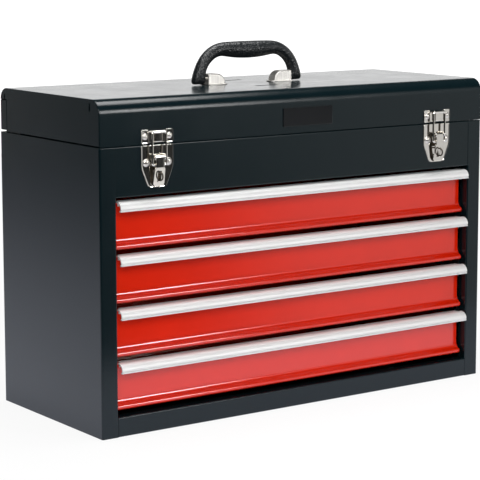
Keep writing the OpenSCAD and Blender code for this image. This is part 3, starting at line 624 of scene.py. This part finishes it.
# ---- drawer trays ----
# Each drawer is a box of steel sheet with rounded folds and a hemmed rim, spot-welded at its
# corners and powder-coated in glossy red with its front.
RED = (0.70, 0.0165, 0.0016, 1.0)
DRAWER_Z = {1: 196.0, 2: 139.6, 3: 83.2, 4: 26.8}
FACE_Y = -94.0
TRAY_HALF = 232.3
TRAY_D = 183.0
TRAY_H = 44.0
TRAY_LIFT = 3.0
HEM_D = 5.0
HEM_IN = 2.0


def box_between(bm, low, high):
    """Adds a plain block between two opposite corners."""
    low, high = Vector(low), Vector(high)
    verts = bmesh.ops.create_cube(bm, size=1.0)["verts"]
    bmesh.ops.scale(bm, vec=high - low, verts=verts)
    bmesh.ops.translate(bm, vec=(low + high) / 2, verts=verts)


def points_of(edges):
    """The points of some edges, each once."""
    return list({v for e in edges for v in e.verts})


red = powder_coated("Red powder coat", RED, roughness=0.40, texture=0.08, peel=0.02, uneven=0.04,
                    level=0.0, coat=1.0)
for n in drawer_numbers:
    bm = bmesh.new()
    low_z = DRAWER_Z[n] + TRAY_LIFT
    low = Vector((-TRAY_HALF, FACE_Y + SHEET_T, low_z))
    high = Vector((TRAY_HALF, FACE_Y + SHEET_T + TRAY_D, low_z + TRAY_H))
    box_between(bm, low, high)
    open_face = max(bm.faces, key=lambda f: f.calc_center_median().z)
    bmesh.ops.delete(bm, geom=[open_face], context="FACES_ONLY")
    round_off(bm, [e for e in bm.edges if len(e.link_faces) == 2], FOLD_R, segments=3)
    turn_outward(bm, (0, 0, low_z + TRAY_H))
    middle = (low + high) / 2
    hem = run_on(bm, [e for e in bm.edges if len(e.link_faces) == 1], (0, 0, 0))
    across = high - low
    shrink = Vector((1 - 2 * HEM_IN / across.x, 1 - 2 * HEM_IN / across.y, 1))
    bmesh.ops.scale(bm, vec=shrink, space=Matrix.Translation(-middle), verts=points_of(hem))
    run_on(bm, hem, (0, 0, -HEM_D))
    make_piece(f"drawer_{n}_tray", bm, red, f"drawer_{n}", "drawer_red", [f"drawer_tray_{n}"],
               THIN_T, SHEET_EDGE)

# ---- drawer fronts ----
# One sheet per drawer: folded back at its top and ends, and flared forward at its foot into a
# rolled edge. It is spot-welded to the tray and coated with it.
DRAWER_H = 52.0
FACE_HALF = 237.5
FACE_H = 49.5
FACE_FOLD_D = 6.0
FLARE_R = 6.0
FLARE_DEG = 65.0
FLARE_H = 11.157
FOOT_R = 3.0
FOOT_DEG = 155.0

flare = math.radians(FLARE_DEG)
for n in drawer_numbers:
    bm = bmesh.new()
    tangent_x = FACE_HALF - FOLD_R
    foot_z, head_z = DRAWER_Z[n] + FLARE_H, DRAWER_Z[n] + FACE_H - FOLD_R
    low = line_across(bm, tangent_x, FACE_Y, foot_z)
    head = run_on(bm, low, (0, 0, head_z - foot_z))
    fold_over(bm, head, Z_AXIS, Y_AXIS, FOLD_R, FACE_FOLD_D)
    hollow = bend(bm, border(bm, y=FACE_Y, z=foot_z), -Z_AXIS, -Y_AXIS, FLARE_R, FLARE_DEG,
                  steps=8)
    foot = bend(bm, hollow, (0, -math.sin(flare), -math.cos(flare)),
                (0, math.cos(flare), -math.sin(flare)), FOOT_R, FOOT_DEG, steps=12)
    run_on(bm, foot, (0, FACE_Y + SHEET_T - foot[0].verts[0].co.y, 0))
    for x, out in ((tangent_x, X_AXIS), (-tangent_x, -X_AXIS)):
        run_on(bm, border(bm, x=x, z=(DRAWER_Z[n], foot_z)), out * FOLD_R)
        fold_over(bm, border(bm, x=x, y=FACE_Y, z=(foot_z, head_z)), out, Y_AXIS, FOLD_R,
                  FACE_FOLD_D)
    turn_outward(bm, (0, 0, DRAWER_Z[n] + DRAWER_H / 2))
    make_piece(f"drawer_{n}_face", bm, red, f"drawer_{n}", "drawer_red", [f"drawer_front_{n}"],
               SHEET_T, SHEET_EDGE)

# ---- drawer pulls ----
# Full-width pulls of extruded aluminium, brushed along their length and anodised: a web on the
# drawer's front, a rounded top, and a front with a groove and a bead over its turned-in lip.
ALUMINIUM = (0.76, 0.76, 0.755, 1.0)
PULL_HALF = 238.0
PULL_D = 16.0
PULL_H = 10.4
PULL_T = 1.4
PULL_R = 8.0
PULL_FOOT_R = 0.7
PULL_DROP = 0.8
PULL_LIP = 3.0
PULL_WEB_H = 6.0
BEAD_H = 1.5
GROOVE_H = 0.9
GROOVE_D = 1.0
WEB_SHORT = 5.0
PULL_EDGE = 0.12

aluminium = plain_metal("Brushed aluminium", ALUMINIUM, roughness=0.50, lines=(6, 1500, 1500),
                        depth=0.06, cloud=0.02, tint=0.03, metallic=0.38)
pull_y, web_y = FACE_Y - PULL_D, FACE_Y - PULL_T - WEB_SHORT
groove_z, inside_z = BEAD_H + GROOVE_H - PULL_H, PULL_T - PULL_H
section = ((PULL_D, 0), (0, 0), (0, groove_z), (GROOVE_D, groove_z), (GROOVE_D, BEAD_H - PULL_H),
           (0, BEAD_H - PULL_H), (0, -PULL_H), (PULL_LIP, -PULL_H), (PULL_LIP, inside_z),
           (PULL_T, inside_z), (PULL_T, -PULL_T), (PULL_D - PULL_T, -PULL_T),
           (PULL_D - PULL_T, -PULL_WEB_H), (PULL_D, -PULL_WEB_H))
for n in drawer_numbers:
    bm = bmesh.new()
    top = DRAWER_Z[n] + DRAWER_H - PULL_DROP
    outline(bm, [(-PULL_HALF, pull_y + y, top + z) for y, z in section])
    for y, z, radius in ((0, 0, PULL_R), (PULL_T, -PULL_T, PULL_R - PULL_T),
                         (0, -PULL_H, PULL_FOOT_R)):
        round_corners(bm, [(-PULL_HALF, pull_y + y, top + z)], radius, segments=10)
    pull_out(bm, (2 * PULL_HALF, 0, 0))
    face_outward(bm)
    for end in (-1, 1):
        cut_x = end * (PULL_HALF - WEB_SHORT)
        divide(bm, X_AXIS, cut_x)
        divide(bm, Y_AXIS, web_y)
        spare = [f for f in bm.faces if f.calc_center_median().x * end > PULL_HALF - WEB_SHORT
                 and f.calc_center_median().y > web_y]
        bmesh.ops.delete(bm, geom=spare, context="FACES")
        gap = [e for e in bm.edges if e.is_boundary]
        step = [v for v in bm.verts if v.is_boundary and abs(v.co.x - cut_x) < NEAR
                and abs(v.co.y - web_y) < NEAR]
        bmesh.ops.edgenet_fill(bm, edges=gap + [bm.edges.new(step)])
    face_outward(bm)
    make_piece(f"drawer_{n}_pull", bm, aluminium, f"drawer_{n}", "pull_aluminium",
               [f"drawer_pull_{n}"], edge=PULL_EDGE, segments=1)

# ---- latch base plates ----
# Pressed steel, nickel-plated: a plate with a raised rim, two ears for the lever's pin and a
# staple for a padlock, held to the front panel by two dome-headed rivets.
NICKEL = (0.79, 0.76, 0.71, 1.0)
WORN_NICKEL = (0.70, 0.67, 0.63, 1.0)
# The near-black nickel colour below is painted shade: it darkens the nickel faces turned to the
# box and the staple in the lever's slot.
SHADED_NICKEL = (0.10, 0.085, 0.07, 1.0)
# Span of how far a face turns to the box (the Y of its normal) over which the painted shade comes
# in
SHADE_FACING = (0.85, 0.97)
LATCH_X = 191.0
LATCH_T = 1.0
LATCH_W = 39.0
LATCH_END_W = 22.0
PLATE_Z = (259.5, 280.0, 303.2)
PLATE_R = (3.5, 4.0, 1.5)
LATCH_EDGE = 0.3
RIM_W = 1.5
PRESSED_D = 0.45
PIVOT_Y = -110.0
PIVOT_Z = 291.0
EAR_X = 5.5
EAR_R = 3.0
EAR_FLAT = 0.05
STAPLE_R = 4.1
STAPLE_WIRE_R = 0.85
STAPLE_AT = (-112.2, 271.0)
PLATE_RIVETS = ((13.5, 285.3), (-13.5, 285.3))
PLATE_RIVET_R = 4.2
RIVET_H = 2.0
SUNK = 0.3


def join(bm, part):
    """Adds another mesh to a mesh and lets it go."""
    made = bpy.data.meshes.new("part")
    part.to_mesh(made)
    part.free()
    bm.from_mesh(made)
    bpy.data.meshes.remove(made)


def ring(bm, centre, ahead, radius):
    """Starts a round rod with a closed end, and gives back the edges to run on from."""
    turn = Vector(ahead).to_track_quat("Z", "Y").to_matrix().to_4x4()
    made = bmesh.ops.create_circle(bm, cap_ends=True, radius=radius, segments=12,
                                   matrix=Matrix.Translation(centre) @ turn)["verts"]
    return [e for e in bm.edges if all(v in made for v in e.verts)]


def dome(bm, place, reach, segments=24):
    """Adds a rivet's domed head, as far as it reaches along each axis."""
    made = bmesh.ops.create_uvsphere(bm, u_segments=segments, v_segments=segments // 2,
                                     radius=1.0)["verts"]
    bmesh.ops.scale(bm, vec=reach, verts=made)
    bmesh.ops.translate(bm, vec=place, verts=made)


def latch_piece(side, name, bm, material, body, nodes=(), **sheet):
    """Finishes a piece drawn for the right latch, for the latch on either side."""
    to_side(bm, side)
    make_piece(f"latch_{side}_{name}", bm, material, body, "nickel_plate", nodes, **sheet)


def rivet_pair(side, name, body, node, places, y, radius, height):
    """The two rivets of a latch part; the left pair takes the place of all four in the CAD."""
    bm = bmesh.new()
    for x, z in places:
        dome(bm, (LATCH_X + x, y, z), (radius, height, radius))
    latch_piece(side, name, bm, rivet_nickel, body, [node] if side == "left" else ())


def blend(tree, share, first, second, kind="FLOAT"):
    """Goes from one value or colour to another by a share."""
    return add_node(tree, "ShaderNodeMix", {"Factor": share, "A": first, "B": second},
                    data_type=kind).outputs["Result"]


def paint_shade_inward(material, color, roughness):
    """Paints shade on the faces that are turned to the box: a near-black colour and a high
    roughness there.
    """
    tree = material.node_tree
    shader = tree.nodes["Principled BSDF"]
    way = coordinate(tree, "Normal")
    facing = add_node(tree, "ShaderNodeSeparateXYZ", {"Vector": way}).outputs["Y"]
    inside = ramp(tree, facing, SHADE_FACING)
    for socket, shade_value, kind in (("Base Color", color, "RGBA"), ("Roughness", roughness, "FLOAT")):
        bright = shader.inputs[socket].links[0].from_socket
        tree.links.new(blend(tree, inside, bright, shade_value, kind), shader.inputs[socket])


nickel = plain_metal("Nickel plating", NICKEL, roughness=0.07, lines=(500, 500, 260), depth=0.03,
                     cloud=0.02, tint=0.05)
# Painted shade: nickel faces turned to the box, such as the lever's back, get the near-black
# colour and a high roughness.
paint_shade_inward(nickel, SHADED_NICKEL, roughness=0.55)
small_part = {"lines": (700, 700, 700), "depth": 0.05, "cloud": 0.04, "tint": 0.05}
# Painted shade: the staple gets the near-black nickel colour where it sits in the lever's slot.
shaded_staple_nickel = plain_metal("Staple nickel with painted shade", SHADED_NICKEL, roughness=0.42, **small_part)
rivet_nickel = plain_metal("Rivet nickel", WORN_NICKEL, roughness=0.30, **small_part)
give_finish(["latch_pins"], nickel)
for side in SIDES:
    bm = bmesh.new()
    half, end = LATCH_W / 2, LATCH_END_W / 2
    foot, straight, head = PLATE_Z
    left = [(LATCH_X - x, FRONT_Y, z) for x, z in ((end, foot), (half, straight), (half, head))]
    right = [(2 * LATCH_X - x, y, z) for x, y, z in left]
    pressed_plate(bm, left[::-1] + right, list(zip(zip(left, right), PLATE_R)), LATCH_T, RIM_W,
                  PRESSED_D)
    face_outward(bm)
    for x in (-EAR_X - LATCH_T, EAR_X):
        ear = bmesh.new()
        feet = [(LATCH_X + x, FRONT_Y - SUNK, PIVOT_Z + z) for z in (EAR_R, -EAR_R)]
        ends = [(LATCH_X + x, PIVOT_Y - EAR_R, PIVOT_Z + z) for z in (-EAR_R, EAR_R)]
        outline(ear, feet + ends)
        round_corners(ear, ends, EAR_R - EAR_FLAT)
        pull_out(ear, (LATCH_T, 0, 0))
        face_outward(ear)
        join(bm, ear)
    latch_piece(side, "base", bm, nickel, "case", [f"latch_plate_{side}"], edge=LATCH_EDGE)
    bm = bmesh.new()
    staple_y, staple_z = STAPLE_AT
    wire = ring(bm, (LATCH_X, FRONT_Y - SUNK, staple_z - STAPLE_R), -Y_AXIS, STAPLE_WIRE_R)
    wire = run_on(bm, wire, (0, staple_y - FRONT_Y + SUNK, 0))
    wire = bend(bm, wire, -Y_AXIS, Z_AXIS, STAPLE_R, 180, steps=14)
    wire = run_on(bm, wire, (0, FRONT_Y - SUNK - staple_y, 0))
    bmesh.ops.contextual_create(bm, geom=wire)
    face_outward(bm)
    latch_piece(side, "staple", bm, shaded_staple_nickel, "case")
    rivet_pair(side, "rivets", "case", "latch_plate_rivets", PLATE_RIVETS,
               FRONT_Y - LATCH_T + PRESSED_D, PLATE_RIVET_R, RIVET_H + PRESSED_D)

# ---- keepers ----
# Nickel-plated plates riveted to the lid's front over the base plates, each with a tongue
# turned up in its middle for the bail to hook over.
KEEPER_Z = (305.3, 319.4)
WING_IN = 10.6
WING_T = 1.3
WING_R = (2.0, 0.8)
WING_RIM_W = 1.0
WING_PRESSED_D = 0.4
WEB_T = 0.5
WEB_FOOT = 0.5
WEB_HEAD = 1.5
KEEPER_RIVETS = ((14.8, 312.4), (-14.8, 312.4))
KEEPER_RIVET_R = 3.4
TONGUE_W = 9.0
TONGUE_R = 1.2
TONGUE_Y = -108.7
TONGUE_Z = (306.3, 317.0)

for side in SIDES:
    bm = bmesh.new()
    foot, head = KEEPER_Z
    for inner, outer in ((-WING_IN, -half), (WING_IN, half)):
        wing = bmesh.new()
        corner = [(LATCH_X + x, FRONT_Y, z) for x, z in
                  ((outer, head), (outer, foot), (inner, foot), (inner, head))]
        pressed_plate(wing, corner, list(zip((corner[:2], corner[2:]), WING_R)), WING_T,
                      WING_RIM_W, WING_PRESSED_D)
        join(bm, wing)
    box_between(bm, (LATCH_X - WING_IN, FRONT_Y - WEB_T, foot + WEB_FOOT),
                (LATCH_X + WING_IN, FRONT_Y, head - WEB_HEAD))
    face_outward(bm)
    latch_piece(side, "keeper", bm, nickel, "lid", [f"keeper_{side}"], edge=LATCH_EDGE)
    bm = bmesh.new()
    low_z, high_z = TONGUE_Z
    line = line_across(bm, TONGUE_W / 2, FRONT_Y - SUNK, low_z, middle=LATCH_X)
    line = run_on(bm, line, (0, TONGUE_Y + TONGUE_R - FRONT_Y + SUNK, 0))
    fold_over(bm, line, -Y_AXIS, Z_AXIS, TONGUE_R, high_z - low_z)
    turn_outward(bm, (LATCH_X, FRONT_Y, high_z))
    latch_piece(side, "tongue", bm, nickel, "lid", thickness=LATCH_T, edge=SMALL_EDGE)
    rivet_pair(side, "keeper_rivets", "lid", "keeper_rivets", KEEPER_RIVETS,
               FRONT_Y - WING_T + WING_PRESSED_D, KEEPER_RIVET_R, RIVET_H)

# ---- levers ----
# Each lever is a nickel-plated steel strip rolled round its pin at the top, with cheeks that
# carry the bail, and below them a wider finger tab that leans in to the plate and has a slot
# for the staple.
LEVER_W = 10.4
ROLL_R = 2.0
ROLL_START = math.radians(-50)
ROLL_DEG = 230.0
LEVER_T = 0.9
LEAN_Z = 281.0
LEAN_DEG = 11.0
LEAN_R = 5.0
TAB_W = 12.4
TAB_END_W = 8.0
CHEEK_Z = (281.0, 290.0)
CHEEK_Y = (-112.0, -108.45)
CHEEK_GAP = 0.02
SLOT_HALF = 2.3
SLOT_Z = (265.4, 276.6)
# How far the finger tab runs on down, and how many times as wide it gets on the way
TAB_STEPS = ((1.2, TAB_W / LEVER_W), (15.5, 1.1), (2.0, 0.88), (1.4, TAB_END_W / TAB_W / 0.88))

for side in SIDES:
    bm = bmesh.new()
    half_w = LEVER_W / 2
    out = Vector((0, math.cos(ROLL_START), math.sin(ROLL_START)))
    line = line_across(bm, half_w, PIVOT_Y + ROLL_R * out.y, PIVOT_Z + ROLL_R * out.z, LATCH_X)
    line = bend(bm, line, X_AXIS.cross(out), -out, ROLL_R, ROLL_DEG, steps=16)
    line = run_on(bm, line, (0, 0, LEAN_Z - PIVOT_Z))
    line = bend(bm, line, -Z_AXIS, Y_AXIS, LEAN_R, LEAN_DEG, steps=3)
    lean = math.radians(LEAN_DEG)
    down = Vector((0, math.sin(lean), -math.cos(lean)))
    for drop, spread in TAB_STEPS:
        line = run_on(bm, line, down * drop)
        bmesh.ops.scale(bm, vec=(spread, 1, 1), verts=points_of(line),
                        space=Matrix.Translation((-LATCH_X, 0, 0)))
    turn_outward(bm, (LATCH_X, PIVOT_Y, PIVOT_Z - ROLL_R))
    punch(bm, (LATCH_X - SLOT_HALF, SLOT_Z[0]), (LATCH_X + SLOT_HALF, SLOT_Z[1]),
          (X_AXIS, Z_AXIS))
    latch_piece(side, "lever", bm, nickel, f"lever_{side}", [f"latch_lever_{side}"],
                thickness=LEVER_T, edge=SHEET_EDGE)
    bm = bmesh.new()
    for x in (-half_w + CHEEK_GAP, half_w - LATCH_T - CHEEK_GAP):
        box_between(bm, (LATCH_X + x, CHEEK_Y[0], CHEEK_Z[0]),
                    (LATCH_X + x + LATCH_T, CHEEK_Y[1], CHEEK_Z[1]))
    latch_piece(side, "cheeks", bm, nickel, f"lever_{side}", edge=LATCH_EDGE)

# ---- bails ----
# Each bail is one bent and flattened wire, nickel-plated: its ends are turned in through the
# lever's cheeks and its top bar is hooked over the keeper's tongue.
WIRE_R = 1.0
WIRE_FLAT = 1.35
BAIL_HALF = 8.5
BAIL_Z = (283.0, 317.0)
BAIL_FOOT_R = 2.2
BAIL_HEAD_R = 2.4
BAIL_END_X = 4.4

for side in SIDES:
    bm = bmesh.new()
    low_z, high_z = BAIL_Z
    wire = ring(bm, (LATCH_X + BAIL_END_X, PIVOT_Y, low_z), X_AXIS, WIRE_R)
    bmesh.ops.scale(bm, vec=(1, 1, WIRE_FLAT), verts=bm.verts,
                    space=Matrix.Translation((0, 0, -low_z)))
    reach = BAIL_HALF - BAIL_END_X - BAIL_FOOT_R
    rise = high_z - low_z - BAIL_FOOT_R - BAIL_HEAD_R
    for step, ahead, toward, radius in (
            ((reach, 0, 0), X_AXIS, Z_AXIS, BAIL_FOOT_R),
            ((0, 0, rise), Z_AXIS, -X_AXIS, BAIL_HEAD_R),
            ((-2 * (BAIL_HALF - BAIL_HEAD_R), 0, 0), -X_AXIS, -Z_AXIS, BAIL_HEAD_R),
            ((0, 0, -rise), -Z_AXIS, X_AXIS, BAIL_FOOT_R)):
        wire = bend(bm, run_on(bm, wire, step), ahead, toward, radius)
    bmesh.ops.contextual_create(bm, geom=run_on(bm, wire, (reach, 0, 0)))
    face_outward(bm)
    latch_piece(side, "bail", bm, nickel, f"bail_{side}", [f"latch_bail_{side}"])

# ---- handle ----
# Moulded black plastic with a fine leather grain: feet round the pins, legs, wide shoulders
# and a grip with a flat top and a swelling belly.
HANDLE_Y = 2.0
PLASTIC = (0.0080, 0.0100, 0.0115)
TONES = (0.75, 1.30)
SOLE_W = 2.0
# Distance from the middle, height, lean in degrees, half height and half depth of each section
SECTIONS = ((0.0, 390.2, 0, 9.8, 9.3), (13.0, 390.4, 0, 9.6, 9.2), (24.0, 390.9, 1, 8.9, 8.6),
            (32.5, 391.5, 4, 8.1, 7.8), (40.0, 391.1, 15, 7.5, 7.0), (47.0, 388.6, 29, 7.2, 6.8),
            (53.3, 384.5, 42, 7.1, 6.7), (58.6, 379.2, 54, 7.0, 6.6), (62.6, 373.0, 66, 7.0, 6.6),
            (65.0, 366.8, 77, 7.3, 6.8), (66.2, 361.5, 86, 8.1, 7.2), (66.6, 357.2, 90, 9.0, 6.4),
            (66.6, 354.6, 90, 8.6, 4.6), (66.6, 353.5, 90, 6.6, 3.0))


def moulded_black():
    """Grained black plastic."""
    material, tree, shader = new_material("Grained black plastic")
    place = coordinate(tree)
    grain = add_node(tree, "ShaderNodeTexVoronoi", {"Vector": place, "Scale": 480.0},
                     feature="SMOOTH_F1").outputs["Distance"]
    cloud = noise(tree, place, scale=60.0, detail=5.0, roughness=0.6)
    dark, light = (tuple(c * level for c in PLASTIC) + (1.0,) for level in TONES)
    connect(tree, shader, blend(tree, cloud, dark, light, "RGBA"),
            ramp(tree, cloud, NOISE_SPAN, low=0.31, high=0.39),
            relief(tree, grain, strength=0.9, distance=0.0007), color_socket="Base Color")
    return material


def section_frame(x, z, lean, half_height, half_depth):
    """Where a section of the handle lies: its circle's axes, scaled and placed."""
    turn = Matrix.Rotation(math.radians(lean), 4, "Y")
    stretch = Matrix.Diagonal((1.0, half_depth, half_height, 1.0))
    return Matrix.Translation((x, HANDLE_Y, z)) @ turn @ stretch


black_plastic = moulded_black()
bm = bmesh.new()
upright = Matrix.Rotation(math.radians(90), 4, "Y")
verts = bmesh.ops.create_circle(bm, cap_ends=False, radius=1.0, segments=20,
                                matrix=section_frame(*SECTIONS[0]) @ upright)["verts"]
edges = [e for e in bm.edges if all(v in verts for v in e.verts)]
for before, after in zip(SECTIONS, SECTIONS[1:]):
    edges = run_on(bm, edges, (0, 0, 0))
    bmesh.ops.transform(bm, matrix=section_frame(*after) @ section_frame(*before).inverted(),
                        verts=points_of(edges))
sole = bmesh.ops.contextual_create(bm, geom=edges)["faces"]
bmesh.ops.inset_region(bm, faces=sole, thickness=SOLE_W)
bmesh.ops.mirror(bm, geom=bm.verts[:] + bm.edges[:] + bm.faces[:], axis="X", merge_dist=NEAR)
face_outward(bm)
grip = make_piece("handle_moulding", bm, black_plastic, "handle", "handle_plastic",
                  ["handle_grip"])
smooth = grip.modifiers.new("Smooth", "SUBSURF")
smooth.levels = smooth.render_levels = 2
give_finish(["handle_pins"], nickel)

# ---- handle brackets ----
# Pressed nickel-plated housings for the handle's pins, rounded down at their inner ends, with
# a flange along each foot that is riveted to the lid's top.
SATIN = (0.70, 0.68, 0.645, 1.0)
BRACKET_X = (33.8, 57.4)
BRACKET_HALF_Y = 7.0
BRACKET_H = 12.4
BRACKET_R = 11.5
BRACKET_RIDGE_R = 2.2
BRACKET_T = 0.9
BRACKET_FLANGE = 3.2
BRACKET_TOE = 4.5
TOE_HALF = 4.0
TOE_R = 2.5
TOE_END = 3.0
BRACKET_RIVET = (1.4, 1.4, 0.77)
BRACKET_RIVET_IN = (7.0, 3.0)

satin_nickel = plain_metal("Satin nickel plating", SATIN, roughness=0.42, lines=(800, 20, 20),
                           depth=0.28, cloud=0.06, tint=0.22, metallic=0.85)
for side in SIDES:
    bm = bmesh.new()
    inner_x, outer_x = BRACKET_X
    top_z = LID_Z1 + BRACKET_H
    wall_y = HANDLE_Y - BRACKET_HALF_Y
    outline(bm, [(x, wall_y, z) for x, z in rectangle((inner_x, LID_Z1), (outer_x, top_z))])
    round_corners(bm, [(inner_x, wall_y, top_z)], BRACKET_R, segments=8)
    pull_out(bm, (0, 2 * BRACKET_HALF_Y, 0))
    bmesh.ops.delete(bm, geom=[f for f in bm.faces
                               if f.calc_center_median().z < LID_Z1 + NEAR], context="FACES")
    face_outward(bm)
    ridge = [e for e in bm.edges if e.calc_face_angle(0.0) > SHARP
             and not all(v.co.x > outer_x - NEAR for v in e.verts)]
    round_off(bm, ridge, BRACKET_RIDGE_R, segments=4)
    turn_outward(bm, (sum(BRACKET_X) / 2, HANDLE_Y, LID_Z1))
    to_side(bm, side)
    make_piece(f"bracket_{side}_housing", bm, satin_nickel, "lid", "nickel_plate",
               [f"handle_bracket_{side}"], BRACKET_T, SHEET_EDGE)
    bm = bmesh.new()
    flange_y = BRACKET_HALF_Y + BRACKET_FLANGE
    toe_x, toe_end_x = inner_x - BRACKET_TOE, inner_x + TOE_END
    foot = [(x, HANDLE_Y + y, LID_Z1) for x, y in (
        (toe_x, -TOE_HALF), (toe_end_x, -flange_y), (outer_x, -flange_y), (outer_x, flange_y),
        (toe_end_x, flange_y), (toe_x, TOE_HALF))]
    outline(bm, foot)
    round_corners(bm, [foot[0], foot[-1]], TOE_R)
    pull_out(bm, (0, 0, SHEET_T))
    face_outward(bm)
    rivet_y = BRACKET_HALF_Y + BRACKET_FLANGE / 2
    for x in (inner_x + BRACKET_RIVET_IN[0], outer_x - BRACKET_RIVET_IN[1]):
        for y in (-rivet_y, rivet_y):
            dome(bm, (x, HANDLE_Y + y, LID_Z1 + SHEET_T), BRACKET_RIVET, segments=16)
    to_side(bm, side)
    make_piece(f"bracket_{side}_flange", bm, satin_nickel, "lid", "nickel_plate",
               ["bracket_rivets"] if side == "left" else (), edge=SMALL_EDGE)

# ---- studio ----
# A white table top that fades out into the white background, one wide soft lamp overhead, a
# key lamp from the front left and a small one from the right, and the photograph's camera.
FLOOR_GREY = 0.80
FLOOR_WHITE = 0.88
FLOOR_SHEEN = (0.84, 0.87, 1.0, 1.0)
WHITE = (1.0, 1.0, 1.0, 1.0)
FLOOR_DULL = 0.9
# Spans, in metres over the table or in parts of a direction, where one light turns to another
FLOOR_FADE = (0.35, 1.1)
MIRRORED_X = (-1.1, -0.35)
MIRRORED = (0.38, 1.35)
FRONT_X = (-0.31, -0.26)
FRONT_LOSS = 0.2
TABLE = ((-1.5, -0.40), (1.9, 2.3))
TABLE_Z = -0.0002
BACKDROP_TOWARD = (0.5, 0.866, 0.0)
BACKDROP_SPAN = (0.38, 0.90)
BACKDROP = 1.25
PANEL_X = (0.545, 0.605)
SIDE_PANEL = 0.64
LOW_Z = (0.30, 0.45)
GROUND_Z = (-0.45, -0.32)
GROUND = 0.9
DARK = 0.02
CAMERA_AT = (-1.22524, -1.71473, 0.51138)
CAMERA_TURN = (82.08, 0.06, -35.303)
CAMERA_LENS = 139.55
CAMERA_SHIFT = -0.0833


def studio_floor():
    """Table top that looks white to the camera and keeps the tool box's shadow."""
    material, tree, shader = new_material("Table top")
    set_values(shader, {"Base Color": (FLOOR_GREY, FLOOR_GREY, FLOOR_GREY, 1.0),
                        "Roughness": FLOOR_DULL, "Specular IOR Level": 0.0})
    path = add_node(tree, "ShaderNodeLightPath").outputs
    seen = path["Is Camera Ray"]
    place = coordinate(tree)
    reach = add_node(tree, "ShaderNodeVectorMath", {0: place}, operation="LENGTH")
    margin = ramp(tree, reach.outputs["Value"], FLOOR_FADE, FLOOR_WHITE, 1.0, "SMOOTHSTEP")
    share = reckon(tree, "MULTIPLY", reckon(tree, "MAXIMUM", seen, path["Is Glossy Ray"]),
                   blend(tree, seen, FLOOR_WHITE, margin))
    across = add_node(tree, "ShaderNodeSeparateXYZ", {"Vector": place}).outputs["X"]
    sheen = reckon(tree, "SUBTRACT", ramp(tree, across, MIRRORED_X, *MIRRORED),
                   ramp(tree, across, FRONT_X, 0.0, FRONT_LOSS))
    white = add_node(tree, "ShaderNodeEmission",
                     {"Color": blend(tree, seen, FLOOR_SHEEN, WHITE, "RGBA"),
                      "Strength": blend(tree, seen, sheen, 1.0)})
    mixed = add_node(tree, "ShaderNodeMixShader",
                     {0: share, 1: shader.outputs[0], 2: white.outputs[0]})
    tree.links.new(mixed.outputs[0], tree.nodes["Material Output"].inputs["Surface"])
    return material


def soft_lamp(name, place, target, size, power):
    """A soft rectangular lamp that points at a place."""
    data = bpy.data.lights.new(name, "AREA")
    data.shape = "RECTANGLE"
    data.size, data.size_y = size
    data.energy = power
    lamp = bpy.data.objects.new(name, data)
    bpy.context.scene.collection.objects.link(lamp)
    lamp.location = place
    lamp.rotation_euler = (Vector(target) - Vector(place)).to_track_quat("-Z", "Y").to_euler()


bm = bmesh.new()
outline(bm, [(x, y, TABLE_Z) for x, y in rectangle(*TABLE)])
table_top = as_object("table_top", bm, studio_floor())

world = bpy.data.worlds.new("Studio")
bpy.context.scene.world = world
world.use_nodes = True
tree = world.node_tree
direction = coordinate(tree, "Generated")
part = add_node(tree, "ShaderNodeSeparateXYZ", {"Vector": direction}).outputs
facing = add_node(tree, "ShaderNodeVectorMath", {0: direction, 1: BACKDROP_TOWARD},
                  operation="DOT_PRODUCT").outputs["Value"]
backdrop = ramp(tree, facing, BACKDROP_SPAN, DARK, BACKDROP, "SMOOTHSTEP")
panel = ramp(tree, part["X"], PANEL_X, DARK, SIDE_PANEL, "SMOOTHSTEP")
low = ramp(tree, part["Z"], LOW_Z, 1.0, DARK, "SMOOTHSTEP")
below = ramp(tree, part["Z"], GROUND_Z, GROUND, DARK, "SMOOTHSTEP")
lit = reckon(tree, "MULTIPLY", reckon(tree, "MAXIMUM", backdrop, panel), low)
path = add_node(tree, "ShaderNodeLightPath").outputs
seen = reckon(tree, "MAXIMUM", reckon(tree, "MAXIMUM", lit, below), path["Is Camera Ray"])
sky = tree.nodes["Background"]
set_values(sky, {"Color": WHITE})
tree.links.new(seen, sky.inputs["Strength"])

soft_lamp("Overhead", (0.0, -0.08, 1.8), target=(0, -0.08, 0), size=(1.7, 0.9), power=36.0)
soft_lamp("Key", (-1.1, -1.9, 1.35), target=(0, 0, 0.2), size=(1.2, 0.9), power=30.0)
soft_lamp("Strip", (1.16, -2.2, 0.88), target=(0, 0, 0.3), size=(0.36, 0.76), power=14.0)

camera = bpy.data.objects.new("Camera", bpy.data.cameras.new("Camera"))
bpy.context.scene.collection.objects.link(camera)
camera.location = CAMERA_AT
camera.rotation_euler = [math.radians(a) for a in CAMERA_TURN]
camera.data.sensor_width = 36.0
camera.data.lens = CAMERA_LENS
camera.data.shift_y = CAMERA_SHIFT
camera.data.clip_start, camera.data.clip_end = 0.05, 50.0
bpy.context.scene.camera = camera
bpy.context.scene.view_settings.view_transform = "Standard"
